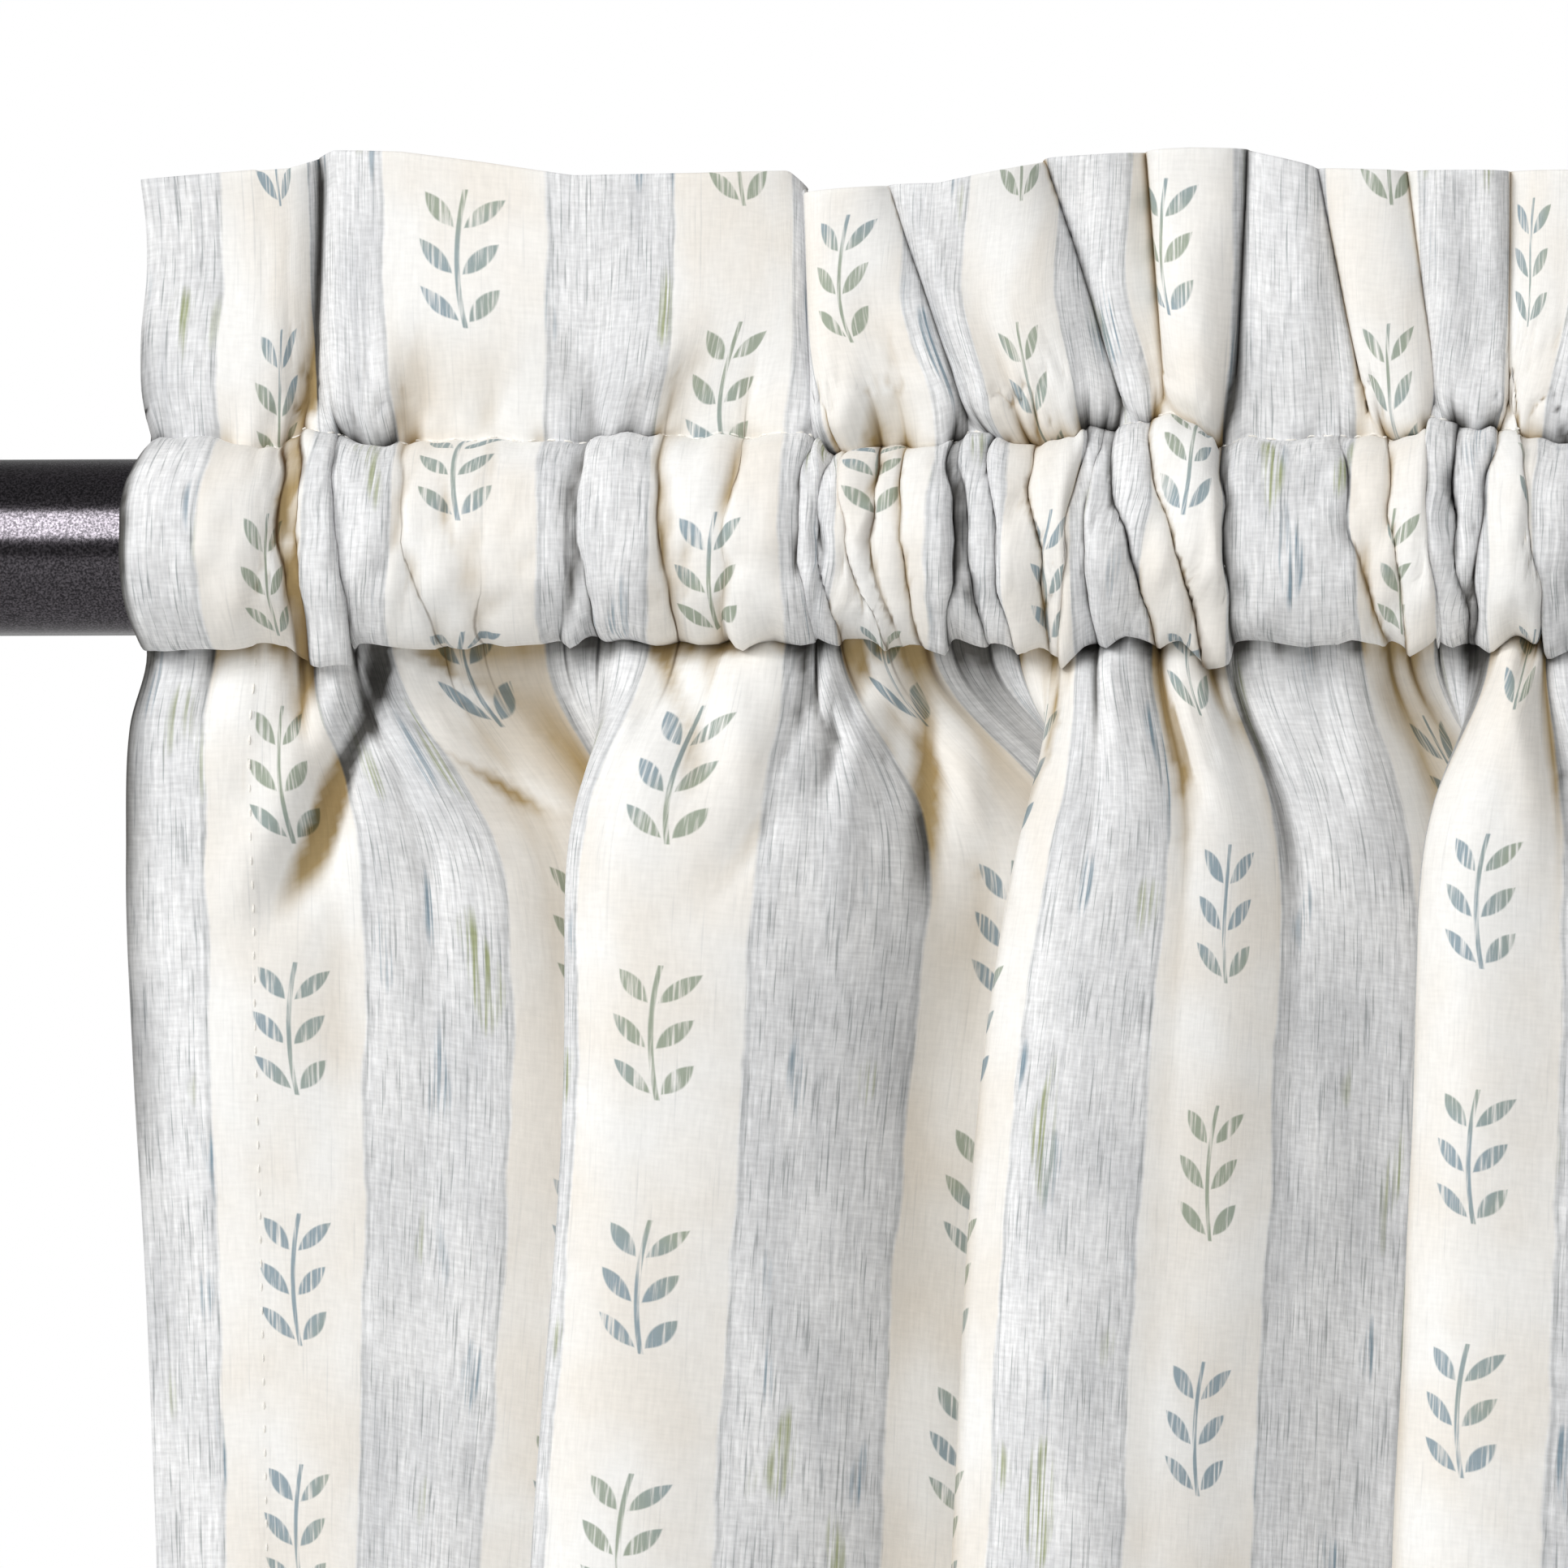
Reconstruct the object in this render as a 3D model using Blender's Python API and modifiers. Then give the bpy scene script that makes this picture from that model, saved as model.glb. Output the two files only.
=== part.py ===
"""Cafe curtain on its rod.

One panel of plain cotton hangs from a round rod. The panel's top is turned to the back and sewn
twice, so that a heading stands above the rod and a pocket runs round it. Gathers close the pocket
up along the rod, and below it they run together into a few broad folds that lap over each other.

The cloth is worked out as one middle surface, a grid of rows down the cloth and of columns across
it, and Solidify gives it its thickness. Each column follows one thread of the flat cloth.

Axes: +X along the rod, -Y towards the room, +Z up. The origin is at the centre of the rod's left end.
"""

import math
import random
from collections import namedtuple

import bpy
import numpy as np

MM = 0.001

# Driving dimensions, in millimetres
ROD_DIAMETER = 25.4
ROD_PAST_CLOTH = 65.0
CLOTH_THICKNESS = 1.4
FLAT_WIDTH = 1016.0
PANEL_DROP = 541.0
POCKET_HALF_DEPTH = 15.0
POCKET_HALF_HEIGHT = 15.2
FOLD_FRONT = 13.0
FOLD_BACK = 7.0

# Pleats: how far one stands out for its width, the most that one does, the least share of that in
# flat stretches, and how much flatter a wide one is on top
PLEAT_SLOPE = 0.42
PLEAT_LIMIT = 4.6
FLAT_PLEAT = 0.35
PLEAT_FLATNESS = 16.0

# Share of the pleats' rise on the pocket's back, at the stitching and on the panel, and how the pocket
# closes in towards its two seams
BACK_GATHER = 0.5
STITCHED_GATHER = 0.55
PANEL_GATHER = 0.8
SEAM_HOLD = 0.7
SEAM_HOLD_POWER = 6
PLEAT_LIFT = 0.5

# Drops over which the pleats die away, and over which the broad folds lap and deepen
GATHER_FADE = 24.0
FOLD_SETTLE = 18.0
FOLD_DEEPEN = 7.0
HEM_DIP = 0.15

# Heading: how far it stands back over the rod, and the share of its height in which it comes free
HEADING_SET_BACK = 2.5
HEADING_FREE = 0.6

# How the flat cloth is gathered: a thread's place in the flat cloth, along the pocket and in the heading
Gather = namedtuple("Gather", "flat pocket heading")
GATHERS = [
    Gather(0.0, 0.0, 0.0),
    Gather(15.7, 13.7, 14.2),
    Gather(37.7, 27.0, 24.7),
    Gather(59.7, 39.0, 38.6),
    Gather(81.8, 61.2, 61.2),
    Gather(103.8, 76.0, 77.5),
    Gather(125.9, 94.3, 93.8),
    Gather(147.9, 101.5, 98.0),
    Gather(170.0, 115.2, 110.0),
    Gather(192.0, 127.4, 122.1),
    Gather(214.0, 135.5, 132.0),
    Gather(236.0, 145.9, 142.4),
    Gather(258.0, 156.2, 157.5),
    Gather(280.0, 175.8, 172.6),
    Gather(302.0, 184.8, 185.4),
    Gather(324.0, 194.6, 195.8),
    Gather(346.0, 202.0, 205.0),
]

# Creases between the pocket's pleats, along the rod
POCKET_CREASES = [
    -3.0, 21.5, 29.5, 40.0, 63.5, 76.0, 96.5, 103.5, 111.4, 120.1, 129.9, 136.9, 146.0, 156.0,
    178.0, 185.0, 192.8, 201.5,
]

# Heading folds: the crease at each fold's left side at the top edge and at the stitching, and how far
# the fold to its right stands out
HeadingFold = namedtuple("HeadingFold", "top low rise")
HEADING_FOLDS = [
    HeadingFold(-6.0, -6.0, 3.0),
    HeadingFold(25.0, 24.5, 6.0),
    HeadingFold(95.5, 96.5, 7.0),
    HeadingFold(107.5, 120.0, 7.5),
    HeadingFold(129.7, 142.5, 5.0),
    HeadingFold(144.5, 147.5, 5.5),
    HeadingFold(159.0, 157.0, 4.5),
    HeadingFold(169.0, 177.0, 5.0),
    HeadingFold(182.0, 187.0, 6.0),
    HeadingFold(196.5, 196.0, 5.5),
]

# Height of the heading's top edge above the stitching, along the rod
TOP_EDGE = [
    (0.0, 38.0), (20.0, 39.8), (28.2, 42.3), (38.0, 41.9), (48.5, 40.4), (61.2, 38.3), (78.6, 38.6),
    (91.4, 39.0), (97.0, 35.7), (107.0, 36.8), (117.0, 36.8), (130.8, 40.6), (151.7, 41.9),
    (159.3, 41.8), (168.0, 39.0), (183.0, 38.4), (204.0, 38.4),
]

# Broad folds of the panel: the stretch of flat cloth hidden behind each fold's left edge, and where
# that edge hangs just under the pocket, 60 mm and 130 mm lower, and at the hem
Lap = namedtuple("Lap", "flat_in flat_out high mid low hem")
LAPS = [
    Lap(65.0, 97.0, 61.0, 61.6, 56.8, 55.0),
    Lap(157.0, 205.0, 131.0, 121.6, 117.2, 117.0),
    Lap(280.0, 324.0, 184.6, 183.2, 180.0, 178.0),
]
LAP_LEVELS = (0.0, 60.0, 130.0, PANEL_DROP)

# Turns of the cloth at a lap. A turn's thread is a share of the hidden stretch and an offset past its
# start; its place is a share of how far the cloth reaches under the fold and a shift from the fold's
# edge; its depth is a share of the fold's back where positive and of its front where negative
LapTurn = namedtuple("LapTurn", "hidden offset reach shift depth")
LAP_TURNS = [
    LapTurn(0.0, -8.0, 0.0, -7.5, 0.55),
    LapTurn(0.0, 0.0, 0.0, 0.5, 0.95),
    LapTurn(0.36, 0.0, 1.0, -1.0, 1.0),
    LapTurn(0.52, 0.0, 1.0, 0.0, 0.2),
    LapTurn(0.68, 0.0, 0.6, 0.0, -0.25),
    LapTurn(1.0, -1.0, 0.0, 0.0, -0.6),
    LapTurn(1.0, 6.5, 0.0, 5.0, -1.0),
]
LAP_REACH = 0.36
CREST_PLACE = 0.45
CREST_DEPTH = -0.8
LEFT_TURNS = [(0.0, 0.0, 0.0), (20.0, 19.5, -1.5)]
RIGHT_DEPTH = -2.0

# Beyond the tables: a seeded draw from these ranges carries them on to the right edge
SEED = 11
GATHER_STEP = 22.0
GATHER_SHARES = (0.34, 0.42, 0.5, 0.58, 0.92)
END_WIDTH = 30.0
END_SHARE = 0.9
HEADING_DRIFT = 2.5
CREASE_STEPS = (7.0, 8.0, 9.0, 10.5, 19.0)
LAST_CREASE = 14.0
PAST_EDGE = 3.0
FOLD_WIDTHS = (11.0, 24.0)
FOLD_LEANS = (-3.0, 6.0)
FOLD_RISES = (4.0, 7.0)
EDGE_STEPS = (10.0, 17.0)
EDGE_HEIGHTS = (36.5, 41.5)
LAP_HIDDEN = (34.0, 48.0)
LAP_SPACING = (58.0, 72.0)
LAP_SWAY = (1.0, 4.0)
HEM_SWAY = 1.3
LAST_LAP = 120.0

# How far the cloth's left edge wanders, against its height from the rod's axis
EDGE_WANDER = [
    (-560.0, 0.3), (-98.0, -0.2), (-73.0, -1.6), (-45.0, -2.3), (-26.0, -1.4), (-15.0, 1.2),
    (0.0, -0.8), (15.0, 1.6), (24.0, 0.3), (48.0, 1.2), (54.0, 0.2),
]
WANDER_REACH = 18.0

# Rows of the loft
HEADING_LEVELS = (1.0, 0.66, 0.33, 0.0)
POCKET_ANGLES = (90.0, 54.0, 18.0, -18.0, -54.0, -90.0)
PANEL_LEVELS = (0.0, 7.0, 18.0, 36.0, 70.0, 130.0, 250.0, 395.0, PANEL_DROP)
COLUMN_STEP = 13.5
COLUMN_GAP = 4.4


def ease(t):
    """Smooth step: 0 up to t = 0, 1 from t = 1, with level ends."""
    t = np.clip(t, 0.0, 1.0)
    return t * t * (3.0 - 2.0 * t)


def curve(x, knots, values):
    """Smooth curve through the knots: a cubic in each span, with the slopes of the chords beside it."""
    knots = np.asarray(knots, float)
    values = np.asarray(values, float)
    slopes = np.gradient(values, knots)
    span = np.clip(np.searchsorted(knots, x) - 1, 0, len(knots) - 2)
    width = knots[span + 1] - knots[span]
    t = np.clip((x - knots[span]) / width, 0.0, 1.0)
    start = (1 + 2 * t) * (1 - t) ** 2 * values[span] + t * (1 - t) ** 2 * width * slopes[span]
    end = t * t * (3 - 2 * t) * values[span + 1] - t * t * (1 - t) * width * slopes[span + 1]
    return start + end


def carried_on():
    """The tables carried on past their last rows to the cloth's right edge, as unevenly as they begin."""
    draw = random.Random(SEED)
    gathers = list(GATHERS)
    while gathers[-1].flat < FLAT_WIDTH:
        last = gathers[-1]
        flat = min(last.flat + GATHER_STEP, FLAT_WIDTH)
        share = draw.choice(GATHER_SHARES) if flat < FLAT_WIDTH - END_WIDTH else END_SHARE
        pocket = last.pocket + (flat - last.flat) * share
        gathers.append(Gather(flat, pocket, pocket + draw.uniform(-HEADING_DRIFT, HEADING_DRIFT)))
    gathers[-1] = gathers[-1]._replace(heading=gathers[-1].pocket)
    width = gathers[-1].pocket

    creases = list(POCKET_CREASES)
    while creases[-1] < width - LAST_CREASE:
        creases.append(creases[-1] + draw.choice(CREASE_STEPS))
    creases.append(width + PAST_EDGE)

    folds = list(HEADING_FOLDS)
    while folds[-1].top < width - END_WIDTH:
        top = folds[-1].top + draw.uniform(*FOLD_WIDTHS)
        folds.append(HeadingFold(top, top + draw.uniform(*FOLD_LEANS), draw.uniform(*FOLD_RISES)))
    folds.append(HeadingFold(width + 2 * PAST_EDGE, width + 2 * PAST_EDGE, 0.0))

    edge = list(TOP_EDGE)
    while edge[-1][0] < width:
        edge.append((edge[-1][0] + draw.uniform(*EDGE_STEPS), draw.uniform(*EDGE_HEIGHTS)))

    laps = list(LAPS)
    while laps[-1].flat_out < FLAT_WIDTH - LAST_LAP:
        hidden = draw.uniform(*LAP_HIDDEN)
        flat_in = laps[-1].flat_out + draw.uniform(*LAP_SPACING)
        middle = flat_in + hidden / 2
        at = float(np.interp(middle, [g.flat for g in gathers], [g.pocket for g in gathers]))
        sway = draw.uniform(*LAP_SWAY)
        laps.append(Lap(flat_in, flat_in + hidden, at + sway, at, at - sway, at - HEM_SWAY * sway))
    return gathers, creases, folds, edge, laps


gathers, pocket_creases, heading_folds, top_edge, laps = carried_on()
GATHERED_WIDTH = gathers[-1].pocket
ROD_LENGTH = GATHERED_WIDTH + 2 * ROD_PAST_CLOTH


def in_pocket(flat):
    """Place along the rod of each thread, in the pocket."""
    return curve(flat, [g.flat for g in gathers], [g.pocket for g in gathers])


def in_heading(flat):
    """Place along the rod of each thread, at the heading's top."""
    return curve(flat, [g.flat for g in gathers], [g.heading for g in gathers])


def pleats(x, creases, rises=None):
    """Rounded folds between creases: each rises from its two creases, and a wide one is flatter on top."""
    creases = np.asarray(creases, float)
    j = np.clip(np.searchsorted(creases, x, side="right") - 1, 0, len(creases) - 2)
    width = creases[j + 1] - creases[j]
    rise = np.minimum(PLEAT_SLOPE * width, PLEAT_LIMIT) if rises is None else np.asarray(rises)[j]
    t = np.clip((x - creases[j]) / width, 0.0, 1.0)
    return rise * (1.0 - np.abs(2.0 * t - 1.0) ** (2.0 + width / PLEAT_FLATNESS))


def wander(flat, z):
    """Sideways drift of the cloth near its left edge, which fades out across the cloth."""
    heights, shifts = zip(*EDGE_WANDER)
    return np.interp(z, heights, shifts) * np.exp(-flat / WANDER_REACH)


def pocket_pleats(flat):
    """How far the pocket's pleats stand out at each thread. They are lower in wide, flat stretches."""
    x = in_pocket(flat)
    height = pleats(x, pocket_creases)
    fullness = np.gradient(flat, x)
    return height * np.clip(FLAT_PLEAT + (1 - FLAT_PLEAT) * (fullness - 1.0), FLAT_PLEAT, 1.0)


def heading_rows(flat):
    """The heading, from its top edge down to the upper stitching."""
    rows = []
    height = np.interp(in_heading(flat), *zip(*top_edge))
    stitched = pocket_pleats(flat)
    for level in HEADING_LEVELS:
        free = ease(level / HEADING_FREE)
        x = in_pocket(flat) + (in_heading(flat) - in_pocket(flat)) * free
        creases = [f.low + (f.top - f.low) * level for f in heading_folds]
        fold = pleats(x, creases, [f.rise for f in heading_folds])
        y = -(1 - free) * STITCHED_GATHER * stitched - free * (fold - HEADING_SET_BACK)
        z = POCKET_HALF_HEIGHT + height * level
        rows.append(np.stack([x + wander(flat, z), y, z], axis=1))
    return rows


def pocket_rows(flat, side):
    """Half of the pocket, from the upper stitching round the rod to the lower: side -1 front, 1 back."""
    rows = []
    pleat = pocket_pleats(flat) * (1.0 if side < 0 else BACK_GATHER)
    seam = -STITCHED_GATHER * pocket_pleats(flat)
    for angle in POCKET_ANGLES:
        a = math.radians(angle)
        loose = 1.0 - SEAM_HOLD * (abs(angle) / 90.0) ** SEAM_HOLD_POWER
        across = math.cos(a) if abs(angle) < 90.0 else 0.0
        y = side * (POCKET_HALF_DEPTH + pleat * loose) * across + seam * math.sin(a) ** 2
        z = (POCKET_HALF_HEIGHT + PLEAT_LIFT * pleat * loose * across) * math.sin(a)
        rows.append(np.stack([in_pocket(flat) + wander(flat, z), y, z], axis=1))
    return rows


def lap_knots(drop):
    """Section through the panel's broad folds at one level, as rows of thread, x and y."""
    edges = [float(curve(np.array(drop), LAP_LEVELS, (p.high, p.mid, p.low, p.hem))) for p in laps]
    ends = [(p.flat_in, edge) for p, edge in zip(laps, edges)][1:] + [(FLAT_WIDTH, GATHERED_WIDTH)]
    knots = list(LEFT_TURNS)
    for lap, edge, (flat_end, x_end) in zip(laps, edges, ends):
        hidden = lap.flat_out - lap.flat_in
        for turn in LAP_TURNS:
            thread = lap.flat_in + turn.hidden * hidden + turn.offset
            x = edge + turn.reach * LAP_REACH * hidden + turn.shift
            knots.append((thread, x, turn.depth * (FOLD_BACK if turn.depth > 0 else FOLD_FRONT)))
        crest = lap.flat_out + CREST_PLACE * (flat_end - lap.flat_out)
        knots.append((crest, edge + CREST_PLACE * (x_end - edge), CREST_DEPTH * FOLD_FRONT))
    knots.append((FLAT_WIDTH, GATHERED_WIDTH, RIGHT_DEPTH))
    return np.array(knots)


def showing(flat):
    """1 on cloth that shows, easing to 0 on the stretches hidden behind the folds' edges."""
    shown = np.ones_like(flat)
    for lap in laps:
        middle = (lap.flat_in + lap.flat_out) / 2
        half = (lap.flat_out - lap.flat_in) / 2
        shown *= ease((np.abs(flat - middle) - 0.6 * half) / (0.6 * half))
    return shown


def panel_rows(flat):
    """The panel, from the lower stitching down to the hem. Its folds deepen before they lap over."""
    rows = []
    pleat = pocket_pleats(flat)
    shown = showing(flat)
    for drop in PANEL_LEVELS:
        lapped = 1.0 - math.exp(-((drop / FOLD_SETTLE) ** 2))
        deep = 1.0 - math.exp(-drop / FOLD_DEEPEN)
        gathered = (STITCHED_GATHER + (PANEL_GATHER - STITCHED_GATHER) * deep) * (1 + deep * (shown - 1))
        knots = lap_knots(drop)
        x = in_pocket(flat) * (1 - lapped) + curve(flat, knots[:, 0], knots[:, 1]) * lapped
        y = curve(flat, knots[:, 0], knots[:, 2]) * deep
        y -= gathered * pleat * math.exp(-drop / GATHER_FADE)
        z = -POCKET_HALF_HEIGHT - drop - HEM_DIP * y * drop / PANEL_DROP
        rows.append(np.stack([x + wander(flat, z), y, z], axis=1))
    return rows


def columns():
    """Threads that the loft follows: every crease and crest of the pocket, then the turns of the laps,
    and more where two would lie too far apart."""
    flat = np.linspace(0.0, FLAT_WIDTH, 4000)
    creases = np.array([c for c in pocket_creases if 0.0 < c < GATHERED_WIDTH])
    crests = (creases[1:] + creases[:-1]) / 2
    chosen = [0.0, *np.interp(np.concatenate([creases, crests]), in_pocket(flat), flat), FLAT_WIDTH]
    turns = [lap.flat_in + t * (lap.flat_out - lap.flat_in) for lap in laps for t in (0.0, 0.35, 0.7, 1.0)]
    for turn in turns:
        if min(abs(turn - c) for c in chosen) > COLUMN_GAP:
            chosen.append(turn)
    chosen.sort()
    between = []
    for left, right in zip(chosen, chosen[1:]):
        parts = math.ceil((right - left) / COLUMN_STEP)
        between += list(np.linspace(left, right, parts + 1)[1:-1])
    return np.array(sorted(chosen + between))


def material(name, colour, roughness, metallic=0.0):
    """Principled material of one colour."""
    m = bpy.data.materials.new(name)
    m.use_nodes = True
    shader = m.node_tree.nodes["Principled BSDF"]
    shader.inputs["Base Color"].default_value = (*colour, 1.0)
    shader.inputs["Roughness"].default_value = roughness
    shader.inputs["Metallic"].default_value = metallic
    return m


def build_curtain(collection):
    """Cloth: the four stretches share their rows at the stitching, and Solidify thickens them all."""
    flat = columns()
    count = len(flat)
    heading = heading_rows(flat)
    front = pocket_rows(flat, -1)
    back = pocket_rows(flat, 1)
    panel = panel_rows(flat)
    rows = heading + front[1:] + back[1:-1] + panel[1:]
    top_seam = len(heading) - 1
    low_seam = top_seam + len(front) - 1
    back_start = low_seam + 1
    panel_start = back_start + len(back) - 2
    strips = [(i, i + 1) for i in range(low_seam)]
    strips += [(top_seam, back_start)]
    strips += [(i, i + 1) for i in range(back_start, panel_start - 1)]
    strips += [(panel_start - 1, low_seam), (low_seam, panel_start)]
    strips += [(i, i + 1) for i in range(panel_start, len(rows) - 1)]
    faces = []
    for upper, lower in strips:
        for c in range(count - 1):
            a = upper * count + c
            b = lower * count + c
            faces.append((a, b, b + 1, a + 1))
    points = np.concatenate(rows) * MM
    points[:, 0] += ROD_PAST_CLOTH * MM
    mesh = bpy.data.meshes.new("curtain")
    mesh.from_pydata(points.tolist(), [], faces)
    mesh.shade_smooth()
    mesh.set_sharp_from_angle(angle=math.radians(38.0))
    curtain = bpy.data.objects.new("curtain", mesh)
    curtain.data.materials.append(material("cotton cloth", (0.80, 0.78, 0.72), 0.9))
    collection.objects.link(curtain)
    thick = curtain.modifiers.new("Thickness", "SOLIDIFY")
    thick.solidify_mode = "NON_MANIFOLD"
    thick.nonmanifold_thickness_mode = "FIXED"
    thick.thickness = CLOTH_THICKNESS * MM
    thick.offset = 0.0
    thick.nonmanifold_merge_threshold = 0.00001
    return curtain


def build_rod(collection):
    """Round rod with plain flat ends, lying along +X from the origin."""
    bpy.ops.mesh.primitive_cylinder_add(
        vertices=48,
        radius=ROD_DIAMETER / 2 * MM,
        depth=ROD_LENGTH * MM,
        location=(ROD_LENGTH / 2 * MM, 0.0, 0.0),
        rotation=(0.0, math.radians(90.0), 0.0),
    )
    rod = bpy.context.object
    rod.name = "rod"
    rod.data.name = "rod"
    rod.data.shade_smooth()
    rod.data.set_sharp_from_angle(angle=math.radians(40.0))
    rod.data.materials.append(material("powder-coated steel", (0.012, 0.012, 0.016), 0.35, 0.3))
    for other in list(rod.users_collection):
        other.objects.unlink(rod)
    collection.objects.link(rod)
    return rod


def main():
    """Clear the startup objects and build the rod and the curtain."""
    for old in list(bpy.data.objects):
        bpy.data.objects.remove(old, do_unlink=True)
    collection = bpy.data.collections.new("Cafe curtain")
    bpy.context.scene.collection.children.link(collection)
    build_rod(collection)
    build_curtain(collection)


main()
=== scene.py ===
# %% [markdown]
# A short gathered curtain on a dark round rod, dressed for a close studio picture.
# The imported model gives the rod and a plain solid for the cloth. This lesson keeps the rod's shape and
# gives it a powder coat, and it swaps the plain cloth for a fine sheet that follows the same folds,
# with its narrow gathers, creases, print, weave and sewing thread.

import math
import random
from collections import namedtuple

import bpy
import numpy as np
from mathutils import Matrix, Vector


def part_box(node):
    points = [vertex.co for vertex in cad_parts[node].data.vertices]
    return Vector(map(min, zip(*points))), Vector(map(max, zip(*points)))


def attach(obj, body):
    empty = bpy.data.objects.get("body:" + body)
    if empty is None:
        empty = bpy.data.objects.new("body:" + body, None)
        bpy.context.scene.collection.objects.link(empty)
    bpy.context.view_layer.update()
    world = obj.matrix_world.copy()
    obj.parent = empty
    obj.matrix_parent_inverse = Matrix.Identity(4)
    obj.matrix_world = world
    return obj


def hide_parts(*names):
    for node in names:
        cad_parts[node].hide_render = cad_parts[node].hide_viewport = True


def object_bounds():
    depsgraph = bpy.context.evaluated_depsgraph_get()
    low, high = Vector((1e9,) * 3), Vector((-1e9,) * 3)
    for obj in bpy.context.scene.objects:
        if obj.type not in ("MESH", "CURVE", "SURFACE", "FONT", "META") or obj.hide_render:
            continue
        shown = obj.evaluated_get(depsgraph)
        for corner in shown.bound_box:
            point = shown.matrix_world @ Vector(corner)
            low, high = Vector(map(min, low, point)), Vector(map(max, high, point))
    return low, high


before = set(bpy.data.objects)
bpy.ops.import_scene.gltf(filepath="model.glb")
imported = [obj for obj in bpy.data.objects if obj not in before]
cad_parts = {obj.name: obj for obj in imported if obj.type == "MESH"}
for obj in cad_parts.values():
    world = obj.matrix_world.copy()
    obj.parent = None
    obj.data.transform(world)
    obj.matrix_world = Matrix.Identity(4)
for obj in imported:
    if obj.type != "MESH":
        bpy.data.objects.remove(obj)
cad_low, cad_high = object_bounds()
rod_low, rod_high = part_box("rod")
print("CAD box in mm", [round(v * 1000) for v in (*cad_low, *cad_high)])

# %% [markdown]
# Sizes. Cloth is easiest to think about in millimetres, so every table below is in millimetres and one
# factor turns a finished grid into metres. The rod's radius comes from the frame, and the cloth starts
# 65 mm from the rod's left end, as the plain solid does. Depth is negative towards the room.

# %% Driving sizes
MM = 0.001
ROD_RADIUS = (rod_high.z - rod_low.z) / 2 / MM
LEFT_EDGE = 65.0
FLAT_WIDTH = 1016.0
PANEL_DROP = 541.0
POCKET_HALF_DEPTH = 15.0
POCKET_HALF_HEIGHT = 15.2
FOLD_FRONT = 13.0
FOLD_BACK = 7.0
SINK = 8.0
SINK_SETTLE = 45.0
CLOTH_THICKNESS = 0.36
HEM_THICKNESS = 0.8
SIDE_HEM = 17.5
BOTTOM_HEM = 26.0
SEED = 11
print("rod radius", round(ROD_RADIUS, 2), "mm")

# %% [markdown]
# The folds of the real curtain were read off and written as short tables: where a thread of the
# flat cloth ends up along the rod, where the creases between pleats lie, and where the broad folds of
# the panel lap over each other. Past the tables' ends a seeded draw carries them on just as unevenly.

# %% Tables of the gathers and folds
Gather = namedtuple("Gather", "flat pocket heading")
GATHERS = [Gather(*row) for row in (
    (0.0, 0.0, 0.0), (15.7, 13.7, 14.2), (37.7, 27.0, 24.7), (59.7, 39.0, 38.6), (81.8, 61.2, 61.2),
    (103.8, 76.0, 77.5), (125.9, 94.3, 93.8), (147.9, 101.5, 98.0), (170.0, 115.2, 110.0),
    (192.0, 127.4, 122.1), (214.0, 135.5, 132.0), (236.0, 145.9, 142.4), (258.0, 156.2, 157.5),
    (280.0, 175.8, 172.6), (302.0, 184.8, 185.4), (324.0, 194.6, 195.8), (346.0, 202.0, 205.0),
)]
POCKET_CREASES = [
    -3.0, 21.5, 29.5, 40.0, 63.5, 76.0, 96.5, 103.5, 111.4, 120.1, 129.9, 136.9, 146.0, 156.0,
    178.0, 185.0, 192.8, 201.5,
]
HeadingFold = namedtuple("HeadingFold", "top low rise")
HEADING_FOLDS = [HeadingFold(*row) for row in (
    (-6.0, -6.0, 3.0), (25.0, 24.5, 6.0), (95.5, 96.5, 7.0), (107.5, 120.0, 7.5), (129.7, 142.5, 5.0),
    (144.5, 147.5, 5.5), (159.0, 157.0, 4.5), (169.0, 177.0, 5.0), (182.0, 187.0, 6.0),
    (196.5, 196.0, 5.5),
)]
TOP_EDGE = [
    (0.0, 38.0), (20.0, 39.8), (28.2, 42.3), (38.0, 41.9), (48.5, 40.4), (61.2, 38.3), (78.6, 38.6),
    (91.4, 39.0), (97.0, 35.7), (107.0, 36.8), (117.0, 36.8), (130.8, 40.6), (151.7, 41.9),
    (159.3, 41.8), (168.0, 39.0), (183.0, 38.4), (204.0, 38.4),
]
Lap = namedtuple("Lap", "flat_in flat_out high mid low hem")
LAPS = [
    Lap(65.0, 97.0, 61.0, 61.6, 56.8, 55.0),
    Lap(157.0, 205.0, 131.0, 121.6, 117.2, 117.0),
    Lap(280.0, 324.0, 184.6, 183.2, 180.0, 178.0),
]
LAP_LEVELS = (0.0, 60.0, 130.0, PANEL_DROP)
EDGE_WANDER = [
    (-560.0, 0.3), (-98.0, -0.2), (-73.0, -1.6), (-45.0, -2.3), (-26.0, -1.2), (-15.5, 1.3), (-8.0, -0.4),
    (0.0, -0.9), (7.0, -0.6), (15.0, 1.6), (23.0, 0.4), (30.0, 0.2), (40.0, 0.9), (48.0, 0.6), (54.0, -0.2),
]
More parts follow.
